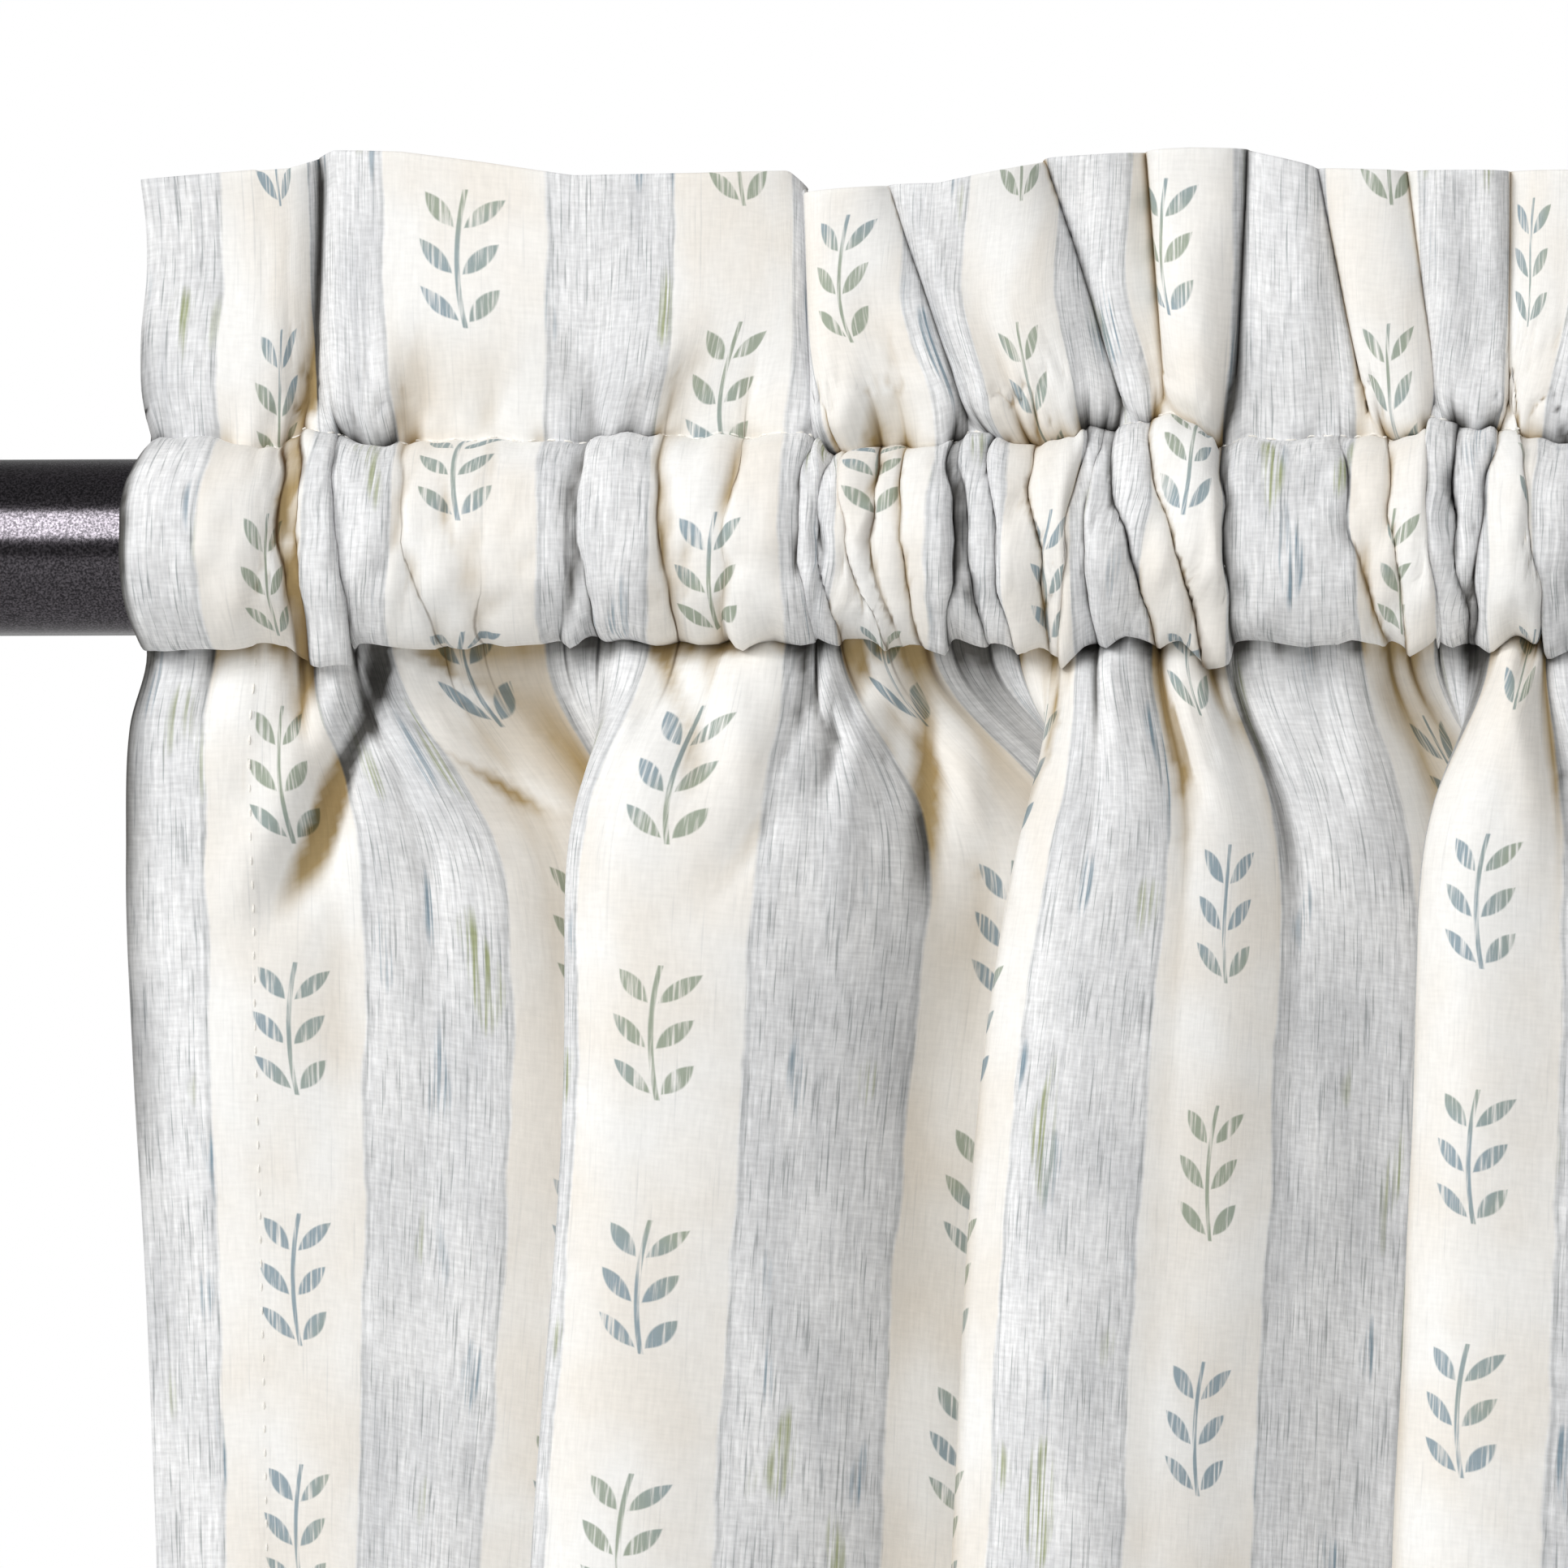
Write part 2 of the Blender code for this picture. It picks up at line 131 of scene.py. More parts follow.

# %% [markdown]
# Between the main creases the pocket is drawn up into narrower pleats that the plain solid leaves out.
# They get a table of their own, with a row for each crease: its place at the upper stitching, at the
# rod's middle and at the lower seam, how high the pleat to its right stands for its width, and how dark
# the shade painted along the crease is at the three heights. Most of them lean, and a few run together,
# which is what makes gathers look like cloth and not like pipes. A second table holds the pocket's
# scalloped lower edge.

# %% Table of the narrow pleats
NarrowCrease = namedtuple("NarrowCrease", "top mid low lift dark_top dark_mid dark_low")
NARROW_CREASES = [NarrowCrease(*row) for row in (
    (-3.0, -3.0, -3.0, 1.0, 0.0, 0.0, 0.0), (20.6, 21.2, 22.4, 0.05, 1.0, 0.9, 0.6),
    (23.3, 23.9, 24.3, 1.3, 1.0, 0.6, 0.7), (28.3, 29.0, 30.7, 0.75, 0.7, 1.0, 0.9),
    (37.9, 38.8, 43.0, 0.9, 0.1, 0.45, 0.5), (50.5, 50.0, 49.2, 0.8, 0.0, 0.0, 0.5),
    (62.6, 62.3, 60.4, 0.4, 0.0, 0.3, 0.9), (64.2, 64.0, 65.8, 0.8, 0.0, 0.35, 0.9),
    (75.0, 75.2, 77.5, 0.6, 0.4, 0.9, 0.8), (86.8, 84.6, 84.2, 0.7, 0.8, 0.1, 0.3),
    (95.8, 95.5, 96.7, 0.5, 0.3, 0.3, 0.4), (98.9, 97.9, 100.7, 0.5, 0.3, 1.0, 0.9),
    (100.6, 102.2, 106.6, 1.1, 0.1, 0.4, 0.7), (106.4, 105.5, 108.6, 0.85, 1.0, 0.8, 0.3),
    (110.0, 109.8, 112.2, 1.15, 0.7, 0.7, 0.7), (116.6, 117.2, 116.3, 0.3, 0.6, 0.9, 0.8),
    (118.6, 119.3, 121.6, 0.9, 0.3, 0.9, 0.7), (122.6, 122.9, 125.6, 0.8, 0.6, 0.8, 0.6),
    (128.2, 129.1, 130.9, 0.9, 0.9, 0.7, 0.5), (136.0, 132.9, 132.2, 0.6, 1.0, 0.8, 0.3),
    (138.0, 136.1, 137.2, 1.1, 0.5, 0.6, 0.6), (139.4, 142.2, 145.6, 0.85, 0.5, 0.6, 0.8),
    (144.3, 148.9, 152.6, 1.2, 0.7, 0.9, 1.0), (154.9, 156.0, 156.6, 1.0, 0.6, 0.9, 0.9),
    (172.5, 174.2, 178.6, 0.6, 0.9, 0.4, 0.4), (178.9, 179.8, 181.9, 1.0, 1.0, 0.9, 0.8),
    (184.5, 184.7, 186.3, 0.85, 0.6, 0.9, 0.8), (188.6, 188.8, 189.9, 0.5, 0.9, 0.8, 0.5),
    (194.6, 192.3, 190.8, 1.1, 0.3, 0.9, 0.9), (197.0, 199.7, 201.5, 0.7, 0.9, 1.0, 0.3),
)]
BOTTOM_EDGE = [
    (0.0, -13.6), (10.0, -13.5), (20.0, -14.2), (22.0, -15.5), (26.0, -17.2), (29.6, -16.5), (31.0, -14.2),
    (36.0, -14.0), (42.0, -14.0), (43.6, -13.0), (45.2, -14.2), (47.3, -14.4), (49.3, -12.5), (52.0, -14.0),
    (58.0, -13.9), (60.2, -13.0), (62.5, -15.3), (64.3, -12.4), (68.0, -12.3), (72.0, -12.5), (73.8, -13.2),
    (77.4, -12.4), (80.0, -13.8), (83.0, -13.4), (84.9, -11.8), (87.2, -15.3), (90.9, -11.8), (93.7, -13.4),
    (97.0, -13.5), (100.5, -14.1), (101.6, -12.0), (104.0, -13.0), (107.1, -14.6), (108.5, -12.4),
    (111.0, -13.6), (115.2, -16.2), (116.6, -14.6), (117.9, -12.4), (121.2, -14.0), (128.7, -15.3),
    (130.0, -14.4), (133.2, -17.7), (135.6, -14.0), (137.4, -12.8), (140.7, -14.6), (142.4, -12.9),
    (147.3, -15.2), (149.2, -14.0), (153.5, -17.6), (156.0, -16.2), (157.2, -12.8), (163.0, -13.0),
    (168.0, -14.6), (172.0, -14.2), (173.9, -12.8), (178.4, -14.8), (179.9, -13.0), (182.6, -16.2),
    (184.4, -13.6), (186.3, -15.8), (187.6, -13.6), (189.3, -14.5), (190.7, -12.2), (194.3, -15.0),
    (196.2, -12.4), (198.4, -13.8), (200.5, -12.8),
]


# %% Small tools for shapes
def ease(t):
    """Smooth step: 0 up to t = 0, 1 from t = 1, with level ends."""
    t = np.clip(t, 0.0, 1.0)
    return t * t * (3.0 - 2.0 * t)


def curve(x, knots, values):
    """Smooth curve through the knots: a cubic in each span, with the slopes of the chords beside it."""
    knots = np.asarray(knots, float)
    values = np.asarray(values, float)
    slopes = np.gradient(values, knots)
    span = np.clip(np.searchsorted(knots, x) - 1, 0, len(knots) - 2)
    width = knots[span + 1] - knots[span]
    t = np.clip((x - knots[span]) / width, 0.0, 1.0)
    start = (1 + 2 * t) * (1 - t) ** 2 * values[span] + t * (1 - t) ** 2 * width * slopes[span]
    end = t * t * (3 - 2 * t) * values[span + 1] - t * t * (1 - t) * width * slopes[span + 1]
    return start + end


def unevenness(a, b, size_a, size_b, seed, waves=16):
    """Soft noise of about unit height: a sum of plane waves with seeded headings and phases."""
    draw = np.random.default_rng(seed)
    total = 0.0
    for _ in range(waves):
        lean_a, lean_b = draw.normal(size=2)
        turn = 2 * math.pi * (lean_a * a / size_a + lean_b * b / size_b)
        total = total + np.sin(turn + draw.uniform(0, 2 * math.pi))
    return total / math.sqrt(waves / 2)


# %% Carry the tables on to the right edge
THREAD_STEP = 22.0
GATHER_SHARES = (0.34, 0.42, 0.5, 0.58, 0.92)
EDGE_SHARE = 0.9
EDGE_STRETCH = 30.0
CREASE_STEPS = (7.0, 8.0, 9.0, 10.5, 19.0)
LAST_CREASE = 14.0
LAST_FOLD = 30.0
LAST_LAP = 120.0
SPLIT_WIDTHS = (7.5, 12.0)
CREASE_GAP = 1.3
SCALLOPS = (-13.0, -15.2)


def carried_on():
    """The tables carried on past their last rows to the cloth's right edge, as unevenly as they begin."""
    draw = random.Random(SEED)
    gathers = list(GATHERS)
    while gathers[-1].flat < FLAT_WIDTH:
        last = gathers[-1]
        flat = min(last.flat + THREAD_STEP, FLAT_WIDTH)
        share = draw.choice(GATHER_SHARES) if flat < FLAT_WIDTH - EDGE_STRETCH else EDGE_SHARE
        pocket = last.pocket + (flat - last.flat) * share
        gathers.append(Gather(flat, pocket, pocket + draw.uniform(-2.5, 2.5)))
    gathers[-1] = gathers[-1]._replace(heading=gathers[-1].pocket)
    width = gathers[-1].pocket

    creases = list(POCKET_CREASES)
    while creases[-1] < width - LAST_CREASE:
        creases.append(creases[-1] + draw.choice(CREASE_STEPS))
    creases.append(width + 3.0)

    folds = list(HEADING_FOLDS)
    while folds[-1].top < width - LAST_FOLD:
        top = folds[-1].top + draw.uniform(11.0, 24.0)
        folds.append(HeadingFold(top, top + draw.uniform(-3.0, 6.0), draw.uniform(4.0, 7.0)))
    folds.append(HeadingFold(width + 6.0, width + 6.0, 0.0))

    edge = list(TOP_EDGE)
    while edge[-1][0] < width:
        edge.append((edge[-1][0] + draw.uniform(10.0, 17.0), draw.uniform(36.5, 41.5)))

    laps = list(LAPS)
    while laps[-1].flat_out < FLAT_WIDTH - LAST_LAP:
        hidden = draw.uniform(34.0, 48.0)
        flat_in = laps[-1].flat_out + draw.uniform(58.0, 72.0)
        middle = flat_in + hidden / 2
        at = float(np.interp(middle, [g.flat for g in gathers], [g.pocket for g in gathers]))
        sway = draw.uniform(1.0, 4.0)
        laps.append(Lap(flat_in, flat_in + hidden, at + sway, at, at - sway, at - 1.3 * sway))
    return gathers, creases, folds, edge, laps


gathers, pocket_creases, heading_folds, top_edge, laps = carried_on()
GATHERED_WIDTH = gathers[-1].pocket

narrow_creases = list(NARROW_CREASES)
narrow_draw = random.Random(SEED + 1)
for left, right in zip(pocket_creases, pocket_creases[1:]):
    if left < NARROW_CREASES[-1].low - 1.0:
        continue
    places = [right]
    if SPLIT_WIDTHS[0] < right - left < SPLIT_WIDTHS[1]:
        places.insert(0, left + (right - left) * narrow_draw.uniform(0.38, 0.62))
    for place in places:
        last = narrow_creases[-1]
        lean = narrow_draw.uniform(-2.6, 2.6)
        leans = zip((lean, 0, -lean), last[:3])
        levels = [max(place + over, before + CREASE_GAP) for over, before in leans]
        lift = narrow_draw.choice((0.5, 0.8, 0.9, 1.1))
        darks = [narrow_draw.choice((0.3, 0.6, 0.8, 1.0)) for _ in range(3)]
        narrow_creases.append(NarrowCrease(*levels, lift, *darks))
bottom_edge = list(BOTTOM_EDGE)
while bottom_edge[-1][0] < GATHERED_WIDTH:
    place = bottom_edge[-1][0] + narrow_draw.uniform(1.4, 3.4)
    lowest = SCALLOPS[len(bottom_edge) % 2]
    bottom_edge.append((place, lowest + narrow_draw.uniform(-1.0, 1.0)))
print("pleats along the pocket", len(narrow_creases) - 1, "broad folds", len(laps) + 1)


# %% [markdown]
# A pleat is cloth that is pushed together, so its section is a round crest between two sharp creases.
# Half an ellipse gives that, and it is upright at both its creases, as real pleats are. Where the cloth is
# hardly gathered, a low crown takes its place. A skew moves each crest to one side, because no two
# pleats lie the same way.

# %% Pleats
WANDER_FADE = 18.0
NEARLY_FLAT = 1.15
GATHER_SPAN = 0.6
LEAST_WIDTH = 0.2


def in_pocket(flat):
    """Place along the rod of each thread, in the pocket."""
    return curve(flat, [g.flat for g in gathers], [g.pocket for g in gathers])


def in_heading(flat):
    """Place along the rod of each thread, at the heading's top."""
    return curve(flat, [g.flat for g in gathers], [g.heading for g in gathers])


def fullness(flat):
    """Flat cloth in each millimetre along the rod."""
    step = 1.5
    return 2 * step / np.maximum(in_pocket(flat + step) - in_pocket(flat - step), 0.6)


def tightness(flat):
    """0 where the pocket is nearly flat, 1 where it is fully gathered."""
    return np.clip((fullness(flat) - NEARLY_FLAT) / GATHER_SPAN, 0.0, 1.0)


def wander(flat, z):
    """Sideways drift of the cloth near its left edge, which fades out across the cloth."""
    heights, shifts = zip(*EDGE_WANDER)
    return curve(z, heights, shifts) * np.exp(-flat / WANDER_FADE)


RISE_FOR_FULLNESS = 0.77
RISE_LIMIT = 4.5
FLAT_CROWN = 0.045
CREASE_HEIGHTS = (-14.0, 0.0, 13.0)
EDGE_ROOM = 3.0
every_thread = np.linspace(0.0, FLAT_WIDTH, 6000)
known_places = np.concatenate([[-EDGE_ROOM], in_pocket(every_thread), [GATHERED_WIDTH + EDGE_ROOM]])
known_threads = np.concatenate([[-EDGE_ROOM], every_thread, [FLAT_WIDTH + EDGE_ROOM]])

narrow_places = np.array([(c.low, c.mid, c.top) for c in narrow_creases])
narrow_lifts = np.array([c.lift for c in narrow_creases])
narrow_darks = np.array([(c.dark_low, c.dark_mid, c.dark_top) for c in narrow_creases])
narrow_skews = np.random.default_rng(SEED + 2).uniform(-0.45, 0.45, len(narrow_creases))
merged_places = np.repeat(np.array(pocket_creases)[:, None], 3, axis=1)
merged_lifts = np.full(len(pocket_creases), 0.9)
merged_skews = np.random.default_rng(SEED + 3).uniform(-0.45, 0.45, len(pocket_creases))
NARROW = (narrow_places, narrow_lifts, narrow_skews)
MERGED = (merged_places, merged_lifts, merged_skews)


def crease_threads(z, places):
    """Places of the creases along the rod at one height, and the threads that lie in them."""
    crease = np.array([np.interp(z, CREASE_HEIGHTS, row) for row in places])
    crease = crease + 0.3 * unevenness(crease, z, 30.0, 16.0, 22)
    crease = np.maximum.accumulate(crease + 0.02 * np.arange(len(crease)))
    return crease, np.interp(crease, known_places, known_threads) + 0.001 * np.arange(len(crease))


def crease_lines(flat, z):
    """Distance of each thread from the nearest narrow crease, counted in half widths of the dark line of
    shade painted along it, and how dark that painted shade is. The distance changes its sign at every
    crease, and so it runs straight through zero there and the line stays sharp between the points of the grid."""
    crease, thread = crease_threads(z, narrow_places)
    k = np.searchsorted((thread[1:] + thread[:-1]) / 2, flat)
    dark = np.array([np.interp(z, CREASE_HEIGHTS, row) for row in narrow_darks])
    side = np.where(k % 2 == 0, 1.0, -1.0)
    uneven = np.clip(1.0 + 0.4 * unevenness(flat, z, 9.0, 9.0, 68), 0.4, 1.8)
    wide = (0.25 + 1.4 * tightness(flat)) * uneven
    patchy = np.clip(1.0 + 0.35 * unevenness(flat, z, 8.0, 8.0, 69), 0.3, 1.3)
    return side * (flat - thread[k]) / wide, np.clip(dark[k] * patchy, 0.0, 1.0)


def pleat_section(flat, z, pleats):
    """Section through the pleats at one height: sideways shift, rise and width for each thread.

    Within a pleat the angle runs from 0 to 180 degrees with the thread, the place goes with 1 - cos and
    the rise with sin, so a pleat with enough cloth in it is half an ellipse, upright at its creases. The
    rise follows from the fullness: so much cloth in so little width has to stand out that far."""
    places, lifts, skews = pleats
    crease, thread = crease_threads(z, places)
    j = np.clip(np.searchsorted(thread, flat, side="right") - 1, 0, len(thread) - 2)
    cloth = thread[j + 1] - thread[j]
    width = np.maximum(crease[j + 1] - crease[j], LEAST_WIDTH)
    full = cloth / width
    t = np.clip((flat - thread[j]) / cloth, 0.0, 1.0)
    rise = RISE_FOR_FULLNESS * width * np.clip(full - 1.0, 0.0, 2.0)
    rise = np.clip(rise, FLAT_CROWN * width, RISE_LIMIT) * lifts[j]
    turn = np.clip((full - 1.0) / GATHER_SPAN, 0.0, 1.0)
    crown = 1.0 - np.abs(2.0 * t - 1.0) ** (2.0 + width / 14.0)
    arch = np.sin(math.pi * t)
    section = rise * (turn * arch**0.75 + (1.0 - turn) * crown)
    shift = turn * width * ((1.0 - np.cos(math.pi * t)) / 2.0 - t)
    shift = shift + turn * skews[j] * rise * arch**2
    return shift, section, width


# %% [markdown]
# Pinched cloth also crumples: short sharp dents wander between the pleats. Soft noise crosses zero
# along winding lines, so a narrow bell round zero turns those lines into dents.

# %% Crumples
SEAM_WAVE = 0.4
SEAM_RISE = 1.5
SAG_ANGLE = -66.0


def crumples(flat, z, across=10.0, along=17.0, seed=61):
    """Depth of the dents, from 0 to 1: a bell section on the winding lines where soft noise is zero."""
    line = unevenness(flat, z, across, along, seed, 10)
    patch = unevenness(flat, z, 2.2 * across, 1.4 * along, seed + 1, 8)
    return np.exp(-((line / 0.3) ** 2)) * np.clip(0.5 + 0.6 * patch, 0.0, 1.2)


Dent = namedtuple("Dent", "x z half_width half_height lean depth")
POCKET_DENTS = [Dent(*row) for row in (
    (21.8, 8.0, 1.0, 5.5, 0.02, 2.0), (23.6, 10.0, 0.9, 2.6, 0.3, 1.5),
    (23.1, -9.5, 0.7, 4.5, -0.08, 1.3), (28.9, 7.0, 0.7, 4.5, -0.1, 1.2),
    (31.2, 8.5, 0.9, 3.0, -0.35, 0.9), (44.9, 4.5, 0.9, 6.5, -0.15, 0.9),
    (52.0, -9.4, 2.2, 2.8, 0.5, 0.9), (62.8, -7.0, 1.0, 5.5, 0.1, 1.5),
    (79.8, -1.0, 0.8, 3.2, 0.12, 0.7), (85.8, 10.0, 1.1, 4.5, 0.15, 1.3),
    (107.0, 10.5, 0.9, 4.5, 0.45, 1.6), (108.1, -7.0, 1.4, 2.6, 0.0, 1.4),
    (117.6, -4.0, 1.2, 3.4, 0.1, 1.9), (119.9, -8.5, 0.9, 2.2, -0.4, 1.3),
    (131.5, -6.0, 0.9, 4.5, 0.1, 1.6), (134.9, 9.0, 0.9, 4.8, 0.25, 1.7),
    (143.2, -10.5, 1.3, 3.2, -0.25, 1.6), (151.3, -9.5, 0.9, 4.5, -0.25, 1.6),
    (162.0, 8.0, 0.9, 5.0, -0.4, 0.8), (180.0, 9.0, 1.1, 5.0, 0.05, 1.9),
    (180.6, -7.5, 0.8, 3.4, -0.1, 1.5), (191.2, -7.5, 1.1, 3.8, 0.3, 1.6),
    (198.7, 9.0, 1.3, 4.2, -0.25, 1.8),
)]


def pocket_dents(x, z):
    """Dents listed one by one on the pocket's front: a bell across a leaning line and a bell along it."""
    total = 0.0
    for d in POCKET_DENTS:
        across = (x - d.x - d.lean * (z - d.z)) / d.half_width
        total = total + d.depth * np.exp(-(across**2) - ((z - d.z) / d.half_height) ** 2)
    return total


def seam_wave(flat):
    """How far the gathers pull the lower seam up and down."""
    return SEAM_RISE + SEAM_WAVE * unevenness(flat, 0.0, 15.0, 1.0, 62) * (0.6 + 0.6 * tightness(flat))


# %% [markdown]
# The heading and the pocket are one strip: it climbs from the lower stitching over the front of the
# rod, runs up the heading, folds over at the top and comes down again at the back. The grid follows
# that path, so its second parameter is the true distance along the cloth, and the print can use it.

# %% Heading and pocket
SEAM_PULL = 0.55
HEADING_SET_BACK = 2.5
LAYER_GAP = 0.55
HEADING_FLAT = 39.0
POCKET_FLAT = 47.0
BACK_PLEATS = 0.8
ROD_CLEARANCE = 0.5
HeadingCrease = namedtuple("HeadingCrease", "top low start end width depth")
HEADING_CREASES = [HeadingCrease(*row) for row in (
    (26.0, 22.5, 0.95, 0.05, 2.6, -2.6), (33.0, 28.0, 0.30, 0.0, 3.0, 1.6),
    (101.0, 112.0, 0.6, 0.1, 3.5, -1.2), (112.0, 127.0, 0.9, 0.1, 2.2, 2.0),
    (135.0, 139.0, 0.9, 0.3, 2.0, -1.2), (143.5, 146.0, 1.0, 0.1, 2.8, -2.4),
    (152.0, 153.0, 0.7, 0.1, 2.6, 1.5), (165.0, 168.0, 0.8, 0.1, 2.4, 1.6),
    (190.0, 193.0, 0.95, 0.1, 2.2, -1.4),
)]
LOBE_PINCH = 0.4
LOBE_DROOP = 1.7
lobe_places = np.array([[f.top, f.low] for f in heading_folds])
lobe_rises = np.array([f.rise for f in heading_folds])
lobe_leans = np.random.default_rng(SEED + 4).uniform(-0.25, 0.25, len(heading_folds))


def heading_lobes(x, level):
    """Rise and sideways shift of the heading's broad folds: round lobes between creases that lean from
    top to stitching. Each lobe swells out over the crease at both its sides."""
    rise = 0.0
    shift = 0.0
    for k in range(len(heading_folds) - 1):
        left, right = (low + (top - low) * level for top, low in lobe_places[k : k + 2])
        t = np.clip((x - left) / (right - left), 0.0, 1.0)
        lobe = (1.0 - np.abs(2.0 * t - 1.0) ** (2.0 + (right - left) / 18.0)) ** 0.8
        rise = rise + lobe_rises[k] * lobe
        lean = LOBE_PINCH * (2.0 * t - 1.0) + lobe_leans[k] * lobe
        shift = shift + lobe_rises[k] * lobe * lean
    return rise, shift


def heading_marks(x, level):
    """Soft creases listed one by one on the heading: a bell section across a leaning line, faded at its ends.
    """
    total = 0.0
    for c in HEADING_CREASES:
        line = c.low + (c.top - c.low) * level
        along = ease((c.start - level) / 0.15 + 0.5) * ease((level - c.end) / 0.15 + 0.5)
        total = total + c.depth * np.exp(-(((x - line) / c.width) ** 2)) * along
    return total


def stitch_height(flat):
    """Height of the upper stitching, which the gathers pull out of line."""
    slow = (0.25 + 0.9 * tightness(flat)) * unevenness(flat, 0.0, 60.0, 1.0, 31)
    return POCKET_HALF_HEIGHT + slow + 0.3 * unevenness(flat, 0.0, 14.0, 1.0, 32)


def heading_front(flat, level):
    """Front of the heading, from level 0 at the stitching to 1 at the top edge."""
    stitch = stitch_height(flat)
    tight = tightness(flat)
    height = HEADING_FLAT * level
    free = ease(level / (0.55 - 0.41 * tight))
    base = in_pocket(flat)
    x = base + (in_heading(flat) - base) * ease(level / 0.6)
    tall = np.interp(in_heading(flat), *zip(*top_edge)) + POCKET_HALF_HEIGHT - stitch
    shift, gathered, width = pleat_section(flat, POCKET_HALF_HEIGHT, NARROW)
    fade = np.exp(-((height / (2.6 + 0.9 * width)) ** 1.5))
    lobe, swell = heading_lobes(x, level)
    bulge = np.exp(-(((height - 2.2) / 2.6) ** 2)) * ease(height / 1.6)
    droop = LOBE_DROOP * tight * (lobe / 7.0) * bulge
    fold = lobe + heading_marks(x, level) + 0.4 * unevenness(flat, height, 45.0, 60.0, 33)
    dents = (0.3 + 0.9 * tight) * crumples(flat, height, 11.0, 16.0, 65)
    dents = dents * np.exp(-((height / 15.0) ** 2))
    ripple = 0.35 * unevenness(flat, height, 5.5, 14.0, 67) * math.exp(-height / 4.0)
    y = -SEAM_PULL * gathered * fade - free * (fold - HEADING_SET_BACK) + dents * free + ripple
    z = stitch + tall * level - droop
    return np.stack([x + wander(flat, z) + 0.7 * shift * fade + swell * free, y, z], axis=-1)


def pocket_side(flat, angle, side):
    """Half of the pocket round the rod: side -1 is the front, 1 the back, and angle runs from 90 down to
    -90 degrees. Depth is a half ellipse plus the pleat, and each pleat sags to a lobe above the seam."""
    a = math.radians(angle)
    held = abs(angle) / 90.0
    across = math.cos(a)
    z_plain = POCKET_HALF_HEIGHT * math.sin(a)
    share = 1.0 if side < 0 else BACK_PLEATS
    shift, pleat, _ = pleat_section(flat, z_plain, NARROW)
    tight = tightness(flat)
    loose = share * (1.0 - 0.7 * held**7)
    near_seam = math.exp(-(((90 - abs(angle)) / 30.0) ** 2))
    pucker = 0.45 * unevenness(flat, z_plain, 6.0, 18.0, 41) * near_seam
    soft = 0.3 * unevenness(flat, z_plain, 16.0, 18.0, 23)
    soft = soft + 0.12 * unevenness(flat, z_plain, 7.0, 9.0, 24)
    dents = (0.25 + 0.75 * tight) * crumples(flat, z_plain) * math.cos(a) ** 0.5
    if side < 0:
        dents = dents + pocket_dents(in_pocket(flat), z_plain)
    depth = POCKET_HALF_DEPTH - 1.5 * tight * (1 - held**4) + pleat * loose + pucker + soft - dents
    depth = np.maximum(depth, ROD_RADIUS + ROD_CLEARANCE)
    y = side * depth * across - SEAM_PULL * pleat * math.sin(a) ** 4
    top = (stitch_height(flat) - POCKET_HALF_HEIGHT) * float(ease(angle / 90.0))
    low = seam_wave(flat) * float(ease(-angle / 90.0))
    plain = POCKET_HALF_HEIGHT * math.sin(math.radians(SAG_ANGLE))
    plain = plain + SEAM_RISE * float(ease(-SAG_ANGLE / 90.0))
    edge = np.interp(in_pocket(flat), *zip(*bottom_edge))
    sag = (plain - edge) * math.exp(-(((angle - SAG_ANGLE) / 19.0) ** 2))
    z = z_plain + 0.3 * pleat * loose * across * math.sin(a) + top + low - sag
    x = in_pocket(flat) + wander(flat, z) + shift * (1.0 - 0.3 * held**5) * (0.5 + 0.5 * share)
    return np.stack([x, y, z], axis=-1)


TOP_RUN = POCKET_FLAT + HEADING_FLAT
TURN_RADIUS = 1.2


def strip(flat, run):
    """One line of the strip. run is the distance along the cloth from the lower seam in front, over the
    top fold, to the lower seam behind."""
    back = run > TOP_RUN
    up = 2 * TOP_RUN - run if back else run
    if up < POCKET_FLAT:
        return pocket_side(flat, -90.0 + 180.0 * up / POCKET_FLAT, 1 if back else -1)
    level = min((up - POCKET_FLAT) / HEADING_FLAT, 1.0)
    points = heading_front(flat, level)
    near = max(1.0 - (TOP_RUN - up) / TURN_RADIUS, 0.0)
    apart = LAYER_GAP * math.sqrt(1.0 - near**2) * float(ease(level / 0.05))
    points[:, 1] += apart if back else -apart
    points[:, 2] -= 0.6 * near**2
    return points


def strip_shade(flat, run):
    """For one line of the strip: the painted crease lines' distance and darkness, and the shade painted
    under the lobes.
    """
    up = min(run, 2 * TOP_RUN - run)
    tight = tightness(flat)
    if up < POCKET_FLAT:
        angle = -90.0 + 180.0 * up / POCKET_FLAT
        near, dark = crease_lines(flat, POCKET_HALF_HEIGHT * math.sin(math.radians(angle)))
        return near, dark, 0.7 * tight * math.exp(-(((90.0 - angle) / 13.0) ** 2))
    height = up - POCKET_FLAT
    near, dark = crease_lines(flat, POCKET_HALF_HEIGHT)
    lobe = heading_lobes(in_pocket(flat), height / HEADING_FLAT)[0]
    under = tight * np.clip(lobe / 5.0, 0.0, 1.0) * math.exp(-(((height - 1.2) / 2.8) ** 2))
    return near, dark * math.exp(-((height / 4.5) ** 2)), under


# %% [markdown]
# Below the seam the gathers run together into broad folds. A fold's section is not a graph over x,
# because its left edge laps over the cloth beside it, so the section is a curve: knots give the thread,
# its x, its depth and how far it has sunk. The panel blends from the seam's section to this one.

